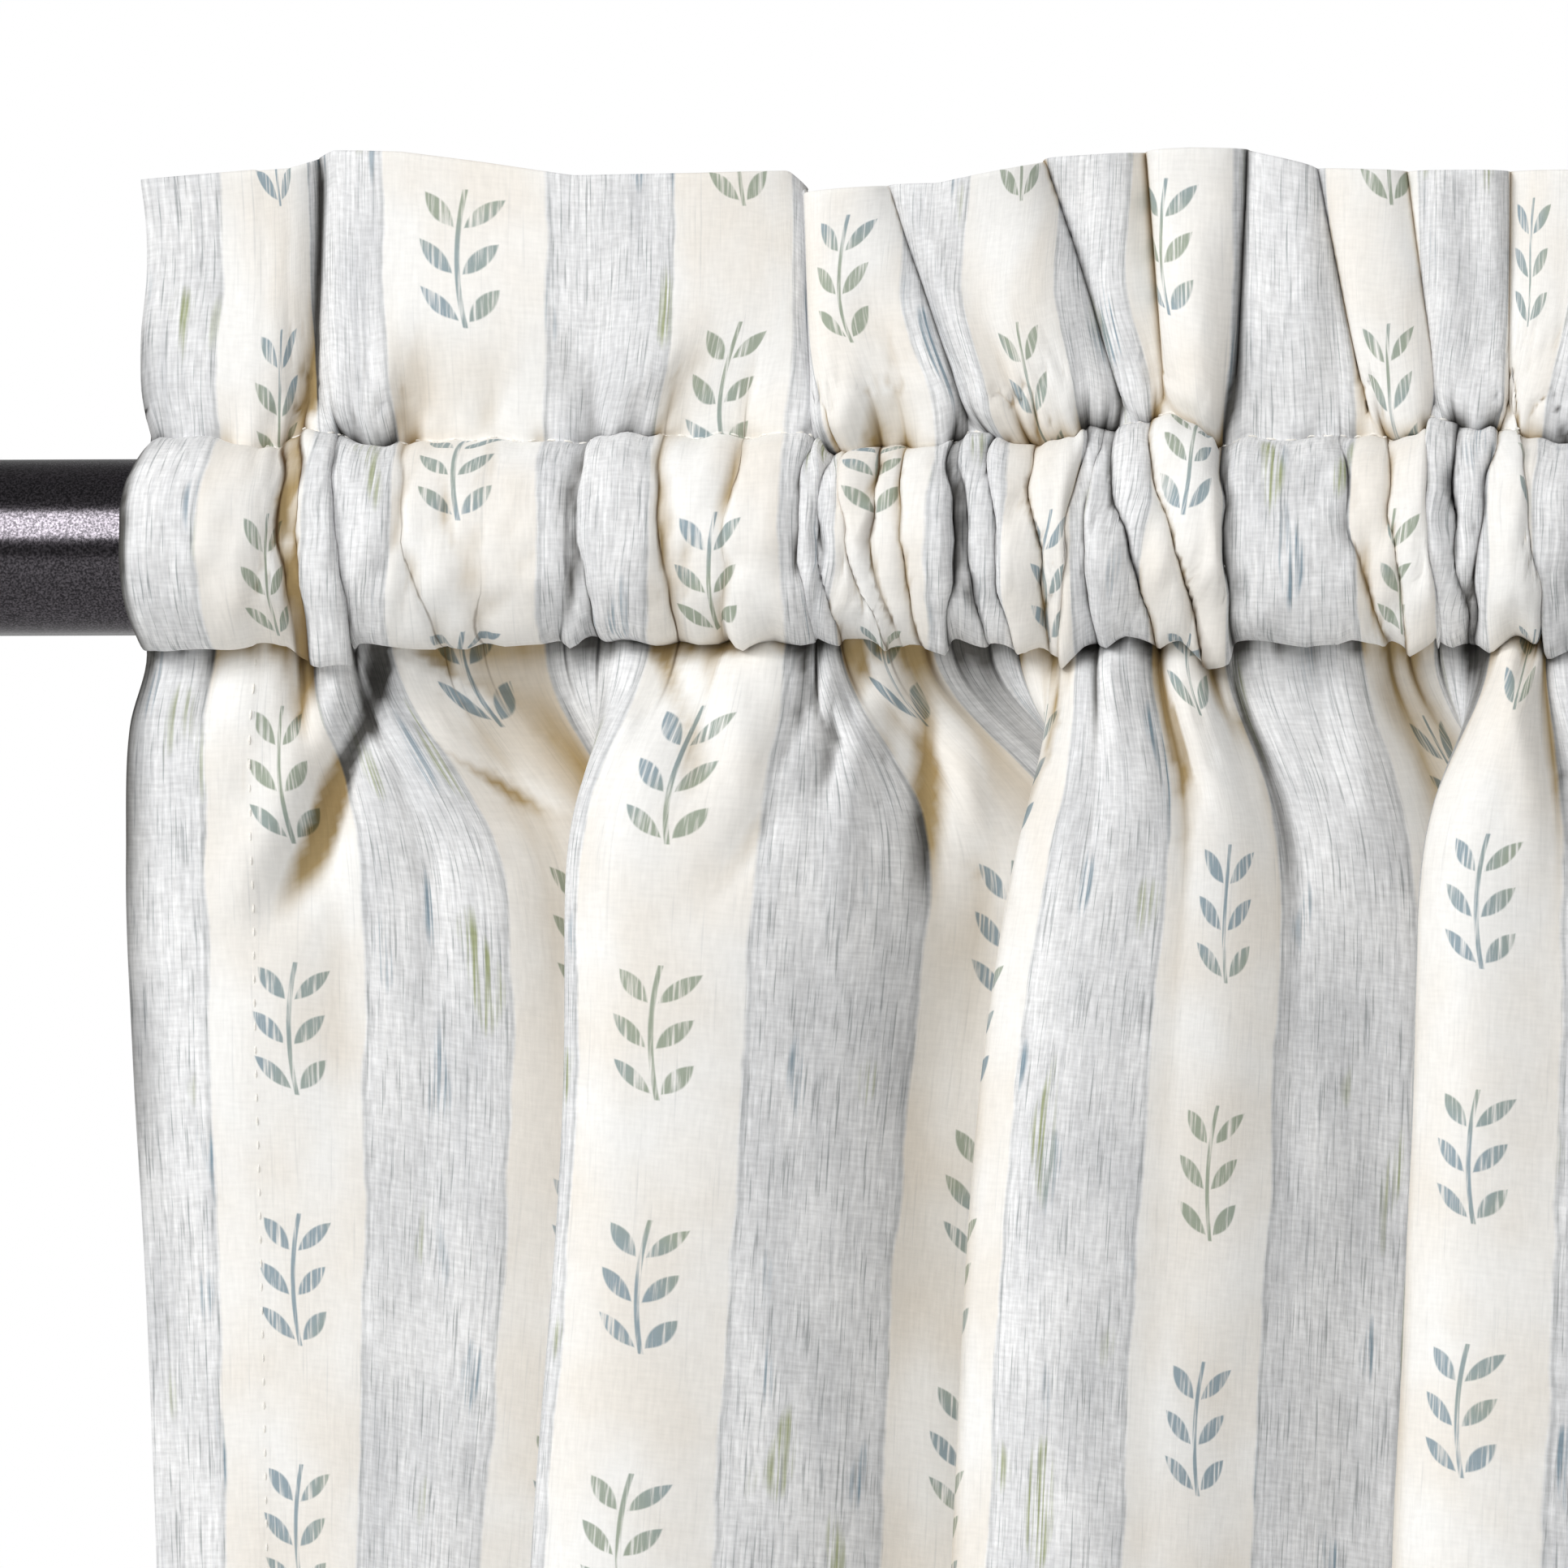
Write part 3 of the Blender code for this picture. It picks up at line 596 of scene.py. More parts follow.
# %% Panel
PANEL_GATHER = 0.85
GATHER_FADE = 24.0
MERGE_DROP = 6.0
FOLD_SETTLE = 18.0
FOLD_DEEPEN = 7.0
LAP_REACH = 0.36
CREST = 0.45
MARK_DEPTH = 1.3
Crease = namedtuple("Crease", "x0 drop0 x1 drop1 bow width depth")
PANEL_CREASES = [Crease(*row) for row in (
    (34.5, 1.0, 21.5, 36.0, 0.6, 2.8, -3.2), (28.5, 2.0, 15.5, 36.0, 0.6, 3.6, 1.5),
    (33.0, 3.0, 57.0, 20.0, -4.0, 2.0, -1.5), (36.0, 1.0, 66.0, 12.0, -2.0, 2.4, 1.5),
    (43.0, 2.0, 41.0, 26.0, 1.0, 5.0, 0.9), (9.0, 1.0, 8.0, 16.0, 0.5, 2.5, -0.8),
    (66.0, 2.0, 72.0, 16.0, 1.0, 2.2, 1.1), (75.0, 2.0, 80.0, 22.0, 2.0, 2.8, -1.2),
    (84.0, 2.0, 88.0, 18.0, 1.0, 2.0, 0.9), (96.0, 1.0, 84.0, 34.0, 3.0, 3.0, -1.5),
    (99.0, 1.0, 92.0, 20.0, 2.0, 2.0, 1.3), (108.0, 1.0, 101.0, 42.0, -3.0, 3.0, 1.6),
    (113.0, 1.0, 112.0, 32.0, 0.0, 2.2, -1.8), (118.0, 1.0, 119.0, 24.0, 0.0, 1.8, 1.4),
    (134.0, 2.0, 128.0, 22.0, 1.0, 2.4, -1.2), (139.0, 1.0, 140.0, 16.0, 0.5, 2.0, 1.2),
    (146.0, 1.0, 152.0, 20.0, -1.0, 2.2, -1.4), (153.0, 1.0, 160.0, 14.0, -1.0, 2.0, -1.0),
    (171.0, 1.0, 176.0, 22.0, 1.0, 2.4, 1.1), (190.0, 1.0, 186.0, 18.0, 1.0, 2.0, -1.3),
    (196.0, 1.0, 201.0, 30.0, 1.0, 2.6, 1.4),
)]


def showing(flat):
    """1 on cloth that shows, easing to 0 on the stretches hidden behind the folds' edges."""
    shown = np.ones_like(flat)
    for lap in laps:
        middle = (lap.flat_in + lap.flat_out) / 2
        half = (lap.flat_out - lap.flat_in) / 2
        shown = shown * ease((np.abs(flat - middle) - 0.6 * half) / (0.6 * half))
    return shown


def lap_knots(drop):
    """Section through the panel's broad folds at one level, as rows of thread, x, y and sink. Each lap
    turns back behind the fold before it, runs hidden, and comes forward to the next fold's crest."""
    edges = [float(curve(np.array(drop), LAP_LEVELS, (p.high, p.mid, p.low, p.hem))) for p in laps]
    ends = [(p.flat_in, edge) for p, edge in zip(laps, edges)][1:] + [(FLAT_WIDTH, GATHERED_WIDTH)]
    top_y = -0.8 * FOLD_FRONT
    knots = [(0.0, 0.0, 0.0, 0.0), (20.0, 19.5, -1.5, 0.0)]
    for lap, edge, (flat_end, x_end) in zip(laps, edges, ends):
        hidden = lap.flat_out - lap.flat_in
        reach = LAP_REACH * hidden
        knots += [
            (lap.flat_in - 8.0, edge - 7.5, 0.55 * FOLD_BACK, 0.8),
            (lap.flat_in, edge + 0.5, 0.95 * FOLD_BACK, 1.0),
            (lap.flat_in + reach, edge + reach - 1.0, FOLD_BACK, 0.8),
            (lap.flat_in + 0.52 * hidden, edge + reach, 0.2 * FOLD_BACK, 0.5),
            (lap.flat_in + 0.68 * hidden, edge + 0.6 * reach, -0.25 * FOLD_FRONT, 0.2),
            (lap.flat_out - 1.0, edge, -0.6 * FOLD_FRONT, 0.0),
            (lap.flat_out + 6.5, edge + 5.0, -FOLD_FRONT, 0.05),
            (lap.flat_out + (flat_end - lap.flat_out) * CREST, edge + (x_end - edge) * CREST, top_y, 0.4),
        ]
    knots.append((FLAT_WIDTH, GATHERED_WIDTH, -2.0, 0.5))
    return np.array(knots)


def panel_marks(x, drop):
    """Soft creases listed one by one on the panel: a bell section across a bowed line, faded at its ends."""
    total = 0.0
    for c in PANEL_CREASES:
        length = c.drop1 - c.drop0
        t = (drop - c.drop0) / length
        line = c.x0 + (c.x1 - c.x0) * t + 4 * c.bow * t * (1 - t)
        along = ease((t + 0.12) / 0.2) * ease((1.25 - t) / 0.6)
        bell = np.exp(-(((x - line) / (c.width * (0.8 + 0.5 * t))) ** 2))
        total = total + MARK_DEPTH * c.depth * bell * along
    return total


def panel(flat, drops):
    """The panel: one row of points for each drop below the lower stitching."""
    shown = showing(flat)
    tight = tightness(flat)
    rows = []
    for drop in drops:
        down = max(drop, 0.0)
        lapped = 1.0 - math.exp(-((down / FOLD_SETTLE) ** 2))
        deep = 1.0 - math.exp(-down / FOLD_DEEPEN)
        sunk = 1.0 - math.exp(-down / SINK_SETTLE)
        knots = lap_knots(down)
        x = in_pocket(flat) * (1 - lapped) + curve(flat, knots[:, 0], knots[:, 1]) * lapped
        y = curve(flat, knots[:, 0], knots[:, 2]) * deep
        gathered = (SEAM_PULL + (PANEL_GATHER - SEAM_PULL) * deep) * (1 + deep * (shown - 1))
        shift, narrow, width = pleat_section(flat, -POCKET_HALF_HEIGHT, NARROW)
        merged_shift, merged, _ = pleat_section(flat, -POCKET_HALF_HEIGHT, MERGED)
        fade = np.exp(-down / (3.0 + 1.1 * width))
        grown = (1.0 - math.exp(-down / MERGE_DROP)) * math.exp(-down / GATHER_FADE)
        x = x + (0.7 * shift * fade + 0.5 * merged_shift * grown) * (1 - lapped)
        y = y - gathered * (1.25 * narrow * fade + merged * grown) - panel_marks(x, down) * shown
        dents = (0.4 + 0.9 * tight) * crumples(flat, 0.6 * down, 12.0, 12.0, 71)
        dents = dents * math.exp(-((down / 22.0) ** 2))
        ripple = 0.5 * unevenness(flat, down, 6.5, 22.0, 73) * math.exp(-down / 7.0)
        y = y + (dents * deep + ripple) * (0.3 + 0.7 * shown)
        drape = 0.5 * unevenness(flat, down, 60.0, 260.0, 51)
        drape = drape + 0.22 * unevenness(flat, down, 24.0, 90.0, 52)
        y = y - drape * deep * (0.4 + 0.6 * shown)
        sink = SINK * sunk * curve(flat, knots[:, 0], knots[:, 3])
        z = -POCKET_HALF_HEIGHT - drop - sink + seam_wave(flat) * math.exp(-down / 8.0)
        rows.append(np.stack([x + wander(flat, z), y, z], axis=-1))
    return np.array(rows)


def panel_shade(flat, drop):
    """For one line of the panel: the painted crease lines carried down from the seam, and the shade
    painted under the pocket.
    """
    down = max(drop, 0.0)
    near, dark = crease_lines(flat, -POCKET_HALF_HEIGHT)
    under = 0.9 * math.exp(-((down / 2.4) ** 2)) + 0.4 * tightness(flat) * math.exp(-((down / 9.0) ** 2))
    return near, dark * math.exp(-((down / 6.0) ** 2)), under


# %% [markdown]
# A grid becomes a mesh in one go: points and quads are whole arrays, and a UV map holds the flat cloth's
# own places in metres. Point attributes carry shade that a thin sheet can't cast by its shape, to be
# painted into the colour: dark lines along the narrow creases, shade in the hollows and under the lobes
# and the pocket. Solidify then gives the sheet its thickness, with the reverse as a second material. A
# vertex group makes the hems thicker, since two or three layers lie there.

# %% From grid to sheet
def fine_steps(start, end, near, far, turn, spread):
    """Places from start to end whose spacing grows from near to far past the turn."""
    places = [start]
    while places[-1] < end:
        t = float(ease((places[-1] - turn) / spread + 0.5))
        places.append(places[-1] + near + (far - near) * t)
    places[-1] = end
    return np.array(places)


Hollow = namedtuple("Hollow", "reach full share")
CREVICE = Hollow(5.5, 1.4, 1.0)
VALLEY = Hollow(20.0, 7.0, 0.5)


def sunk(grid, flat, back, kind):
    """How far each point lies behind the mean depth of the cloth within a reach to both sides, over the
    depth that counts as full. The mean is the difference of a running sum of depth times width, over
    the width."""
    depth = grid[..., 1] * np.where(back, -1.0, 1.0)[:, None]
    pieces = (depth[:, 1:] + depth[:, :-1]) / 2 * np.diff(flat)
    running = np.concatenate([np.zeros((len(depth), 1)), np.cumsum(pieces, axis=1)], axis=1)
    high = np.minimum(flat + kind.reach, flat[-1])
    low = np.maximum(flat - kind.reach, flat[0])
    total = np.array([np.interp(high, flat, row) - np.interp(low, flat, row) for row in running])
    return kind.share * np.clip((depth - total / (high - low)) / kind.full, -1.0, 1.0)


def hollows(grid, flat, back, under):
    """Signed amount of shade painted into the cloth's colour: above 0 in hollows of the printed face, below 0
    on its crests, which are hollows of the reverse. Narrow crevices, broad valleys and the painted shade
    under lobes are added up."""
    total = sunk(grid, flat, back, CREVICE) + sunk(grid, flat, back, VALLEY) + under
    return np.clip(total, -1.0, 1.0)


def sheet_mesh(name, grid, flat, along, marks):
    """Mesh object of one grid of points, with the flat cloth's places as its UV map and each of the
    marks as an attribute of its points."""
    count_v, count_u = grid.shape[:2]
    points = grid.reshape(-1, 3) * MM
    points[:, 0] += LEFT_EDGE * MM
    a = (np.arange(count_v - 1)[:, None] * count_u + np.arange(count_u - 1)).reshape(-1)
    quads = np.stack([a, a + 1, a + 1 + count_u, a + count_u], axis=1)
    mesh = bpy.data.meshes.new(name)
    mesh.from_pydata(points, [], quads)
    uv = np.stack(np.broadcast_arrays(flat[None, :], along[:, None]), axis=-1).reshape(-1, 2) * MM
    layer = mesh.uv_layers.new(name="flat cloth")
    corners = np.zeros(len(mesh.loops), dtype=np.int32)
    mesh.loops.foreach_get("vertex_index", corners)
    layer.data.foreach_set("uv", uv[corners].reshape(-1).astype(np.float32))
    for title, values in marks.items():
        mark = mesh.attributes.new(title, "FLOAT", "POINT")
        mark.data.foreach_set("value", values.reshape(-1).astype(np.float32))
    mesh.shade_smooth()
    sheet = bpy.data.objects.new(name, mesh)
    bpy.context.scene.collection.objects.link(sheet)
    print(name, "has", len(quads), "quads before its thickness")
    return sheet


def thicken(sheet, hems):
    """Solidify with full thickness on the hems and single cloth elsewhere."""
    group = sheet.vertex_groups.new(name="layers")
    index = np.arange(len(sheet.data.vertices))
    group.add(index[hems].tolist(), 1.0, "REPLACE")
    group.add(index[~hems].tolist(), CLOTH_THICKNESS / HEM_THICKNESS, "REPLACE")
    thick = sheet.modifiers.new("Cloth thickness", "SOLIDIFY")
    thick.thickness = HEM_THICKNESS * MM
    thick.offset = 0.0
    thick.vertex_group = "layers"
    thick.material_offset = 1


def stacked(lines):
    """Arrays of the marks, one row for each line of the grid, from what the lines give in turn."""
    rows = [np.broadcast_arrays(*line) for line in lines]
    return [np.array(part) for part in zip(*rows)]


def in_side_hem(flat):
    """True on the threads of the two side hems."""
    return (flat < SIDE_HEM) | (flat > FLAT_WIDTH - SIDE_HEM)


# %% Make the two stretches of cloth
strip_flat = fine_steps(0.0, FLAT_WIDTH, 1.0, 3.4, 372.0, 60.0)
strip_run = np.concatenate([
    np.linspace(0.0, POCKET_FLAT, 31),
    fine_steps(POCKET_FLAT, TOP_RUN - TURN_RADIUS, 0.65, 2.2, POCKET_FLAT + 9.0, 8.0)[1:],
    TOP_RUN + np.array([-0.6, -0.2, 0.0, 0.2, 0.6, TURN_RADIUS]),
    np.linspace(TOP_RUN + TURN_RADIUS, TOP_RUN + HEADING_FLAT, 9)[1:],
    np.linspace(TOP_RUN + HEADING_FLAT, 2 * TOP_RUN, 12)[1:],
])
strip_grid = np.array([strip(strip_flat, run) for run in strip_run])
# Painted shade of each line of the strip: crease lines, hollows and the shade under lobes, kept as point
# attributes.
near, dark, under = stacked(strip_shade(strip_flat, run) for run in strip_run)
painted_shade = hollows(strip_grid, strip_flat, strip_run > TOP_RUN, under)
marks = {"crease": near, "dark": dark, "painted_shade": painted_shade}
head_sheet = sheet_mesh("curtain_heading_and_pocket", strip_grid, strip_flat, strip_run, marks)

panel_flat = fine_steps(0.0, FLAT_WIDTH, 1.5, 4.6, 372.0, 60.0)
panel_drops = fine_steps(-1.0, PANEL_DROP, 1.1, 9.0, 140.0, 240.0)
panel_grid = panel(panel_flat, panel_drops)[::-1]
# Painted shade of each line of the panel, kept as point attributes in the same way.
near, dark, under = stacked(panel_shade(panel_flat, drop) for drop in panel_drops[::-1])
painted_shade = hollows(panel_grid, panel_flat, np.zeros(len(panel_drops), bool), under)
marks = {"crease": near, "dark": dark, "painted_shade": painted_shade}
panel_sheet = sheet_mesh("curtain_panel", panel_grid, panel_flat, -panel_drops[::-1], marks)

hem_flat = np.broadcast_to(strip_flat, strip_grid.shape[:2]).reshape(-1)
thicken(head_sheet, in_side_hem(hem_flat))
hem_flat = np.broadcast_to(panel_flat, panel_grid.shape[:2]).reshape(-1)
hem_drop = np.broadcast_to(panel_drops[::-1, None], panel_grid.shape[:2]).reshape(-1)
thicken(panel_sheet, in_side_hem(hem_flat) | (hem_drop > PANEL_DROP - BOTTOM_HEM))


# %% [markdown]
# Sewing thread. The pocket's upper seam shows at the front and at the back, its lower seam only at the
# back, and one line holds each hem. A stitch is a short tube that dips into the cloth at both ends, so
# every line is a row of them. All stitches are worked out in one array: points along each stitch, a ring
# of sides round each point, and one joined mesh.

# %% Stitches
THREAD_RADIUS = 0.17
STITCH_PITCH = 2.7
STITCH_LENGTH = 2.0
STITCH_RISE = 0.14
STITCH_DIP = 0.35
HEM_PITCH = 3.4
SEAM_ENDS = (2.5, FLAT_WIDTH - 1.5)
HEM_ENDS = (2.0, PANEL_DROP - 1.0)
BESIDE = 0.5
UPPER_SEAM = 0.3
LOWER_SEAM = 1.5
THREAD_SIDES = 6


def stitches(centres, normals):
    """Tubes along stitches: centres and normals have one row for each stitch and 5 points in a row. The
    height over the cloth follows a half wave from below its surface up to the rise and down again."""
    wave = np.sin(np.linspace(0.0, math.pi, centres.shape[1]))
    lift = (CLOTH_THICKNESS / 2 - STITCH_DIP) + (STITCH_RISE + STITCH_DIP) * wave
    line = centres + normals * lift[None, :, None]
    along = np.gradient(line, axis=1)
    along = along / np.linalg.norm(along, axis=-1, keepdims=True)
    side = np.cross(along, normals)
    side = side / np.linalg.norm(side, axis=-1, keepdims=True)
    up = np.cross(side, along)
    turn = np.linspace(0.0, 2 * math.pi, THREAD_SIDES, endpoint=False)
    radius = THREAD_RADIUS * (0.55 + 0.45 * wave)[None, :, None, None]
    ring = np.cos(turn)[:, None] * side[:, :, None, :] + np.sin(turn)[:, None] * up[:, :, None, :]
    return line[:, :, None, :] + radius * ring


def seam_frame(line, before, after):
    """Outward normals of the cloth on a line of points, from the lines just before and after it."""
    normal = np.cross(np.gradient(line, axis=0), after - before)
    return normal / np.linalg.norm(normal, axis=-1, keepdims=True)


def seam(points_on, ends, pitch=STITCH_PITCH):
    """Stitches along a seam between its ends. points_on gives the seam's points and the ones beside it
    for an array of places along it."""
    firsts = np.arange(ends[0], ends[1] - STITCH_LENGTH, pitch)
    share = np.linspace(0.0, STITCH_LENGTH, 5)
    places = firsts[:, None] + share[None, :]
    line, before, after = points_on(places.reshape(-1))
    normal = seam_frame(line, before, after)
    shape = (*places.shape, 3)
    return stitches(line.reshape(shape), normal.reshape(shape))


def across_strip(run):
    """Seam along the gathers, at one distance up the strip."""
    return lambda flat: (strip(flat, run), strip(flat, run - BESIDE), strip(flat, run + BESIDE))


def across_panel(drop):
    """Seam along the width of the panel, at one drop."""
    return lambda flat: tuple(panel(flat, [drop, drop + BESIDE, drop - BESIDE]))


def down_panel(flat):
    """Seam down the panel, along one thread."""
    threads = np.array([flat, flat - BESIDE, flat + BESIDE])
    return lambda drops: tuple(np.moveaxis(panel(threads, drops), 1, 0))


def joined(name, tubes):
    """One mesh of all the stitches, their ends closed."""
    tubes = np.concatenate(tubes)
    count, rings, sides = tubes.shape[:3]
    points = tubes.reshape(-1, 3) * MM
    points[:, 0] += LEFT_EDGE * MM
    base = (np.arange(count) * rings * sides)[:, None, None]
    i, k = np.arange(rings - 1)[None, :, None] * sides, np.arange(sides)[None, None, :]
    after = (k + 1) % sides
    here = base + i
    quads = np.stack([here + k, here + after, here + sides + after, here + sides + k], axis=-1)
    ends = np.arange(count)[:, None] * rings * sides + np.arange(sides)
    caps = [*ends[:, ::-1].tolist(), *(ends + (rings - 1) * sides).tolist()]
    mesh = bpy.data.meshes.new(name)
    mesh.from_pydata(points.tolist(), [], quads.reshape(-1, 4).tolist() + caps)
    mesh.shade_smooth()
    made = bpy.data.objects.new(name, mesh)
    bpy.context.scene.collection.objects.link(made)
    print(name, "has", count, "stitches")
    return made


thread = joined(
    "sewing_thread",
    [
        seam(across_strip(POCKET_FLAT + UPPER_SEAM), SEAM_ENDS),
        seam(across_strip(2 * TOP_RUN - POCKET_FLAT - UPPER_SEAM), SEAM_ENDS),
        seam(across_strip(2 * TOP_RUN - LOWER_SEAM), SEAM_ENDS),
        seam(across_panel(PANEL_DROP - BOTTOM_HEM), SEAM_ENDS, HEM_PITCH),
        seam(down_panel(SIDE_HEM), HEM_ENDS, HEM_PITCH),
        seam(down_panel(FLAT_WIDTH - SIDE_HEM), HEM_ENDS, HEM_PITCH),
    ],
)

# %% [markdown]
# Materials. Every colour is written as the sRGB hex value the eye reads and turned to linear light by
# one function, and one helper adds any node with its settings and links.

# %% Material tools
def linear(code):
    """sRGB hex colour to linear light: the sRGB curve's two parts, applied to each channel."""
    parts = [int(code[i : i + 2], 16) / 255 for i in (1, 3, 5)]
    return (*[p / 12.92 if p <= 0.04045 else ((p + 0.055) / 1.055) ** 2.4 for p in parts], 1.0)


def add(tree, kind, *values, **settings):
    """Add a node and give its first output. Settings are the node's own attributes, or inputs by name
    with _ for a space. Values fill the inputs in order. A number or a tuple stays on its socket, a hex
    text becomes a colour there, and an output is linked."""
    node = tree.nodes.new("ShaderNode" + kind)
    named = {}
    for key, value in settings.items():
        if hasattr(node, key):
            setattr(node, key, value)
        else:
            named[key.replace("_", " ")] = value
    in_order = [socket for socket in node.inputs if socket.enabled]
    pairs = [*zip(in_order, values), *((node.inputs[key], value) for key, value in named.items())]
    for socket, value in pairs:
        if isinstance(value, bpy.types.NodeSocket):
            tree.links.new(value, socket)
        else:
            socket.default_value = linear(value) if isinstance(value, str) else value
    return next(socket for socket in node.outputs if socket.enabled)


def new_material(name):
    """An empty node material with its Principled shader."""
    made = bpy.data.materials.new(name)
    made.use_nodes = True
    return made, made.node_tree, made.node_tree.nodes["Principled BSDF"]


# %% [markdown]
# The cloth is a plain-weave cotton with a printed pattern. Its print here is a generic one of the same
# colours and scale as on the real cloth: soft grey and cream bands that run down the cloth, with small
# leaves on the cream. Everything reads the UV map, so the print bends with every fold. Two small steps
# come back all the time: grain of a real size, and one colour laid over another by a share.

# %% Cotton print: its repeated steps
BAND = 22.3
TURN = 2 * BAND * MM


def grain(tree, place, across, along, detail=3.0, shift=0.0):
    """Noise whose grain has real sizes in millimetres across and along the cloth."""
    size = (1 / (across * MM), 1 / (along * MM), 1.0)
    scaled = add(tree, "Mapping", Vector=place, Location=(shift, shift, 0.0), Scale=size)
    return add(tree, "TexNoise", Vector=scaled, Scale=1.0, Detail=detail)


def laid_over(tree, colour, ink, share, strength):
    """A colour with an ink laid over it, by a share of its strength."""
    cover = add(tree, "Math", share, strength, operation="MULTIPLY")
    return add(tree, "Mix", cover, colour, ink, data_type="RGBA")


# %% [markdown]
# The printed bands. A band is where the distance from its middle line is under half its width. Slow
# noise moves that line a little, as a loaded brush does, and the ink is dragged along the cloth: noise
# that is 0.55 mm across and 24 mm along gives the strokes, and finer noise the dry ones. A few strokes
# carry green or blue.

# %% Printed bands
GREY_FROM = 0.245
GREY_FULL = 0.257
RIM_AT = 0.262
RIM_HALF = 0.012


def tinted(tree, uv, strokes, width, shift, highest):
    """Where a few grey strokes carry another colour: rare patches, and strokes inside them."""
    patch = add(tree, "MapRange", grain(tree, uv, width, 26, 1, shift), 0.66, highest)
    stroke = add(tree, "MapRange", strokes, 0.45, 0.62)
    return add(tree, "Math", patch, stroke, operation="MULTIPLY")


def printed_bands(tree, uv, across):
    """Colour of the grey and cream bands, and where they are grey."""
    wobble = add(tree, "Math", grain(tree, uv, 70, 16), 2.6 * MM, -1.3 * MM, operation="MULTIPLY_ADD")
    moved = add(tree, "Math", across, wobble, operation="ADD")
    turns = add(tree, "Math", add(tree, "Math", moved, TURN, operation="DIVIDE"), operation="FRACT")
    from_middle = add(tree, "Math", turns, 0.5, operation="SUBTRACT")
    from_middle = add(tree, "Math", from_middle, operation="ABSOLUTE")
    grey_share = add(tree, "MapRange", from_middle, GREY_FROM, GREY_FULL)
    rim = add(tree, "Math", from_middle, RIM_AT, operation="SUBTRACT")
    rim = add(tree, "MapRange", add(tree, "Math", rim, operation="ABSOLUTE"), RIM_HALF, 0.0)
    strokes = grain(tree, uv, 0.55, 24, 4, 3.0)
    ink = add(tree, "Math", strokes, grain(tree, uv, 11, 21, 1, 7.0), operation="ADD")
    ink = add(tree, "MapRange", ink, 0.7, 1.35)
    grey = add(tree, "Mix", ink, "#F4F4F4", "#D0D1D3", data_type="RGBA")
    grey = laid_over(tree, grey, "#969A9C", rim, 0.35)
    dry = add(tree, "MapRange", grain(tree, uv, 0.36, 11, 5, 11.0), 0.56, 0.68)
    grey = laid_over(tree, grey, "#767D80", dry, 0.58)
    warm = add(tree, "MapRange", grain(tree, uv, 17, 24, 2, 17.0), 0.38, 0.64)
    cream = add(tree, "Mix", warm, "#F6F5F2", "#F0EBE3", data_type="RGBA")
    faint = add(tree, "MapRange", grain(tree, uv, 0.6, 22, 4, 23.0), 0.6, 0.8)
    cream = laid_over(tree, cream, "#B4B7B8", faint, 0.35)
    grey = laid_over(tree, grey, "#8C9650", tinted(tree, uv, strokes, 8, 31.0, 0.72), 0.75)
    grey = laid_over(tree, grey, "#5E7F92", tinted(tree, uv, strokes, 7, 43.0, 0.71), 0.75)
    return add(tree, "Mix", grey_share, cream, grey, data_type="RGBA"), grey_share


# %% [markdown]
# A small sprig stands on each cream band. Its leaves are where 1 - (p / length)^2 is more than the
# distance q from the leaf's own line over its half width, with p and q turned by 45 degrees. Taking the
# distance from the band's middle without its sign draws the leaves in pairs.

# %% Printed sprigs
SPRIG_STEP = 36.0
LEAF_STEP = 6.4
LEAF_LENGTH = 3.3
LEAF_WIDTH = 1.25
LEAF_OUT = 2.9
SPRIG_HALF = 9.6
STEM_BEND = 0.012
STEM_OUTSIDE = 0.42
STEM_INSIDE = 0.25


def centred(tree, turns, step):
    """Place within one repeat, in mm from its middle."""
    part = add(tree, "Math", add(tree, "Math", turns, operation="FRACT"), 0.5, operation="SUBTRACT")
    return add(tree, "Math", part, step, operation="MULTIPLY")


def printed_sprigs(tree, across, along):
    """Where the sprigs are printed: 1 on leaf or stem, 0 beside it."""
    turns = add(tree, "Math", across, TURN, operation="DIVIDE")
    column = add(tree, "Math", turns, operation="FLOOR")
    drop = add(tree, "Math", along, SPRIG_STEP * MM, operation="DIVIDE")
    drop = add(tree, "Math", column, 0.5, drop, operation="MULTIPLY_ADD")
    a = centred(tree, turns, 2 * BAND)
    b = centred(tree, drop, SPRIG_STEP)
    bend = add(tree, "Math", add(tree, "Math", b, b, operation="MULTIPLY"), STEM_BEND, operation="MULTIPLY")
    side = add(tree, "Math", add(tree, "Math", a, bend, operation="SUBTRACT"), operation="ABSOLUTE")
    whorl = add(tree, "Math", add(tree, "Math", b, SPRIG_HALF, operation="ADD"), operation="ABSOLUTE")
    whorl = add(tree, "Math", whorl, LEAF_STEP, operation="MODULO")
    whorl = add(tree, "Math", whorl, LEAF_STEP / 2, operation="SUBTRACT")
    out = add(tree, "Math", side, LEAF_OUT, operation="SUBTRACT")
    p = add(tree, "Math", out, whorl, operation="ADD")
    p = add(tree, "Math", p, math.sqrt(0.5), operation="MULTIPLY")
    q = add(tree, "Math", whorl, out, operation="SUBTRACT")
    q = add(tree, "Math", q, math.sqrt(0.5), operation="MULTIPLY")
    length = add(tree, "Math", add(tree, "Math", p, LEAF_LENGTH, operation="DIVIDE"), 2.0, operation="POWER")
    width = add(tree, "Math", add(tree, "Math", q, operation="ABSOLUTE"), LEAF_WIDTH, operation="DIVIDE")
    leaf = add(tree, "Math", add(tree, "Math", 1.0, length, operation="SUBTRACT"), width, operation="SUBTRACT")
    leaf = add(tree, "MapRange", leaf, 0.0, 0.2)
    stem = add(tree, "MapRange", side, STEM_OUTSIDE, STEM_INSIDE)
    inside = add(tree, "Math", b, operation="ABSOLUTE")
    inside = add(tree, "MapRange", inside, SPRIG_HALF, SPRIG_HALF - 0.2)
    return add(tree, "Math", add(tree, "Math", leaf, stem, operation="MAXIMUM"), inside, operation="MULTIPLY")
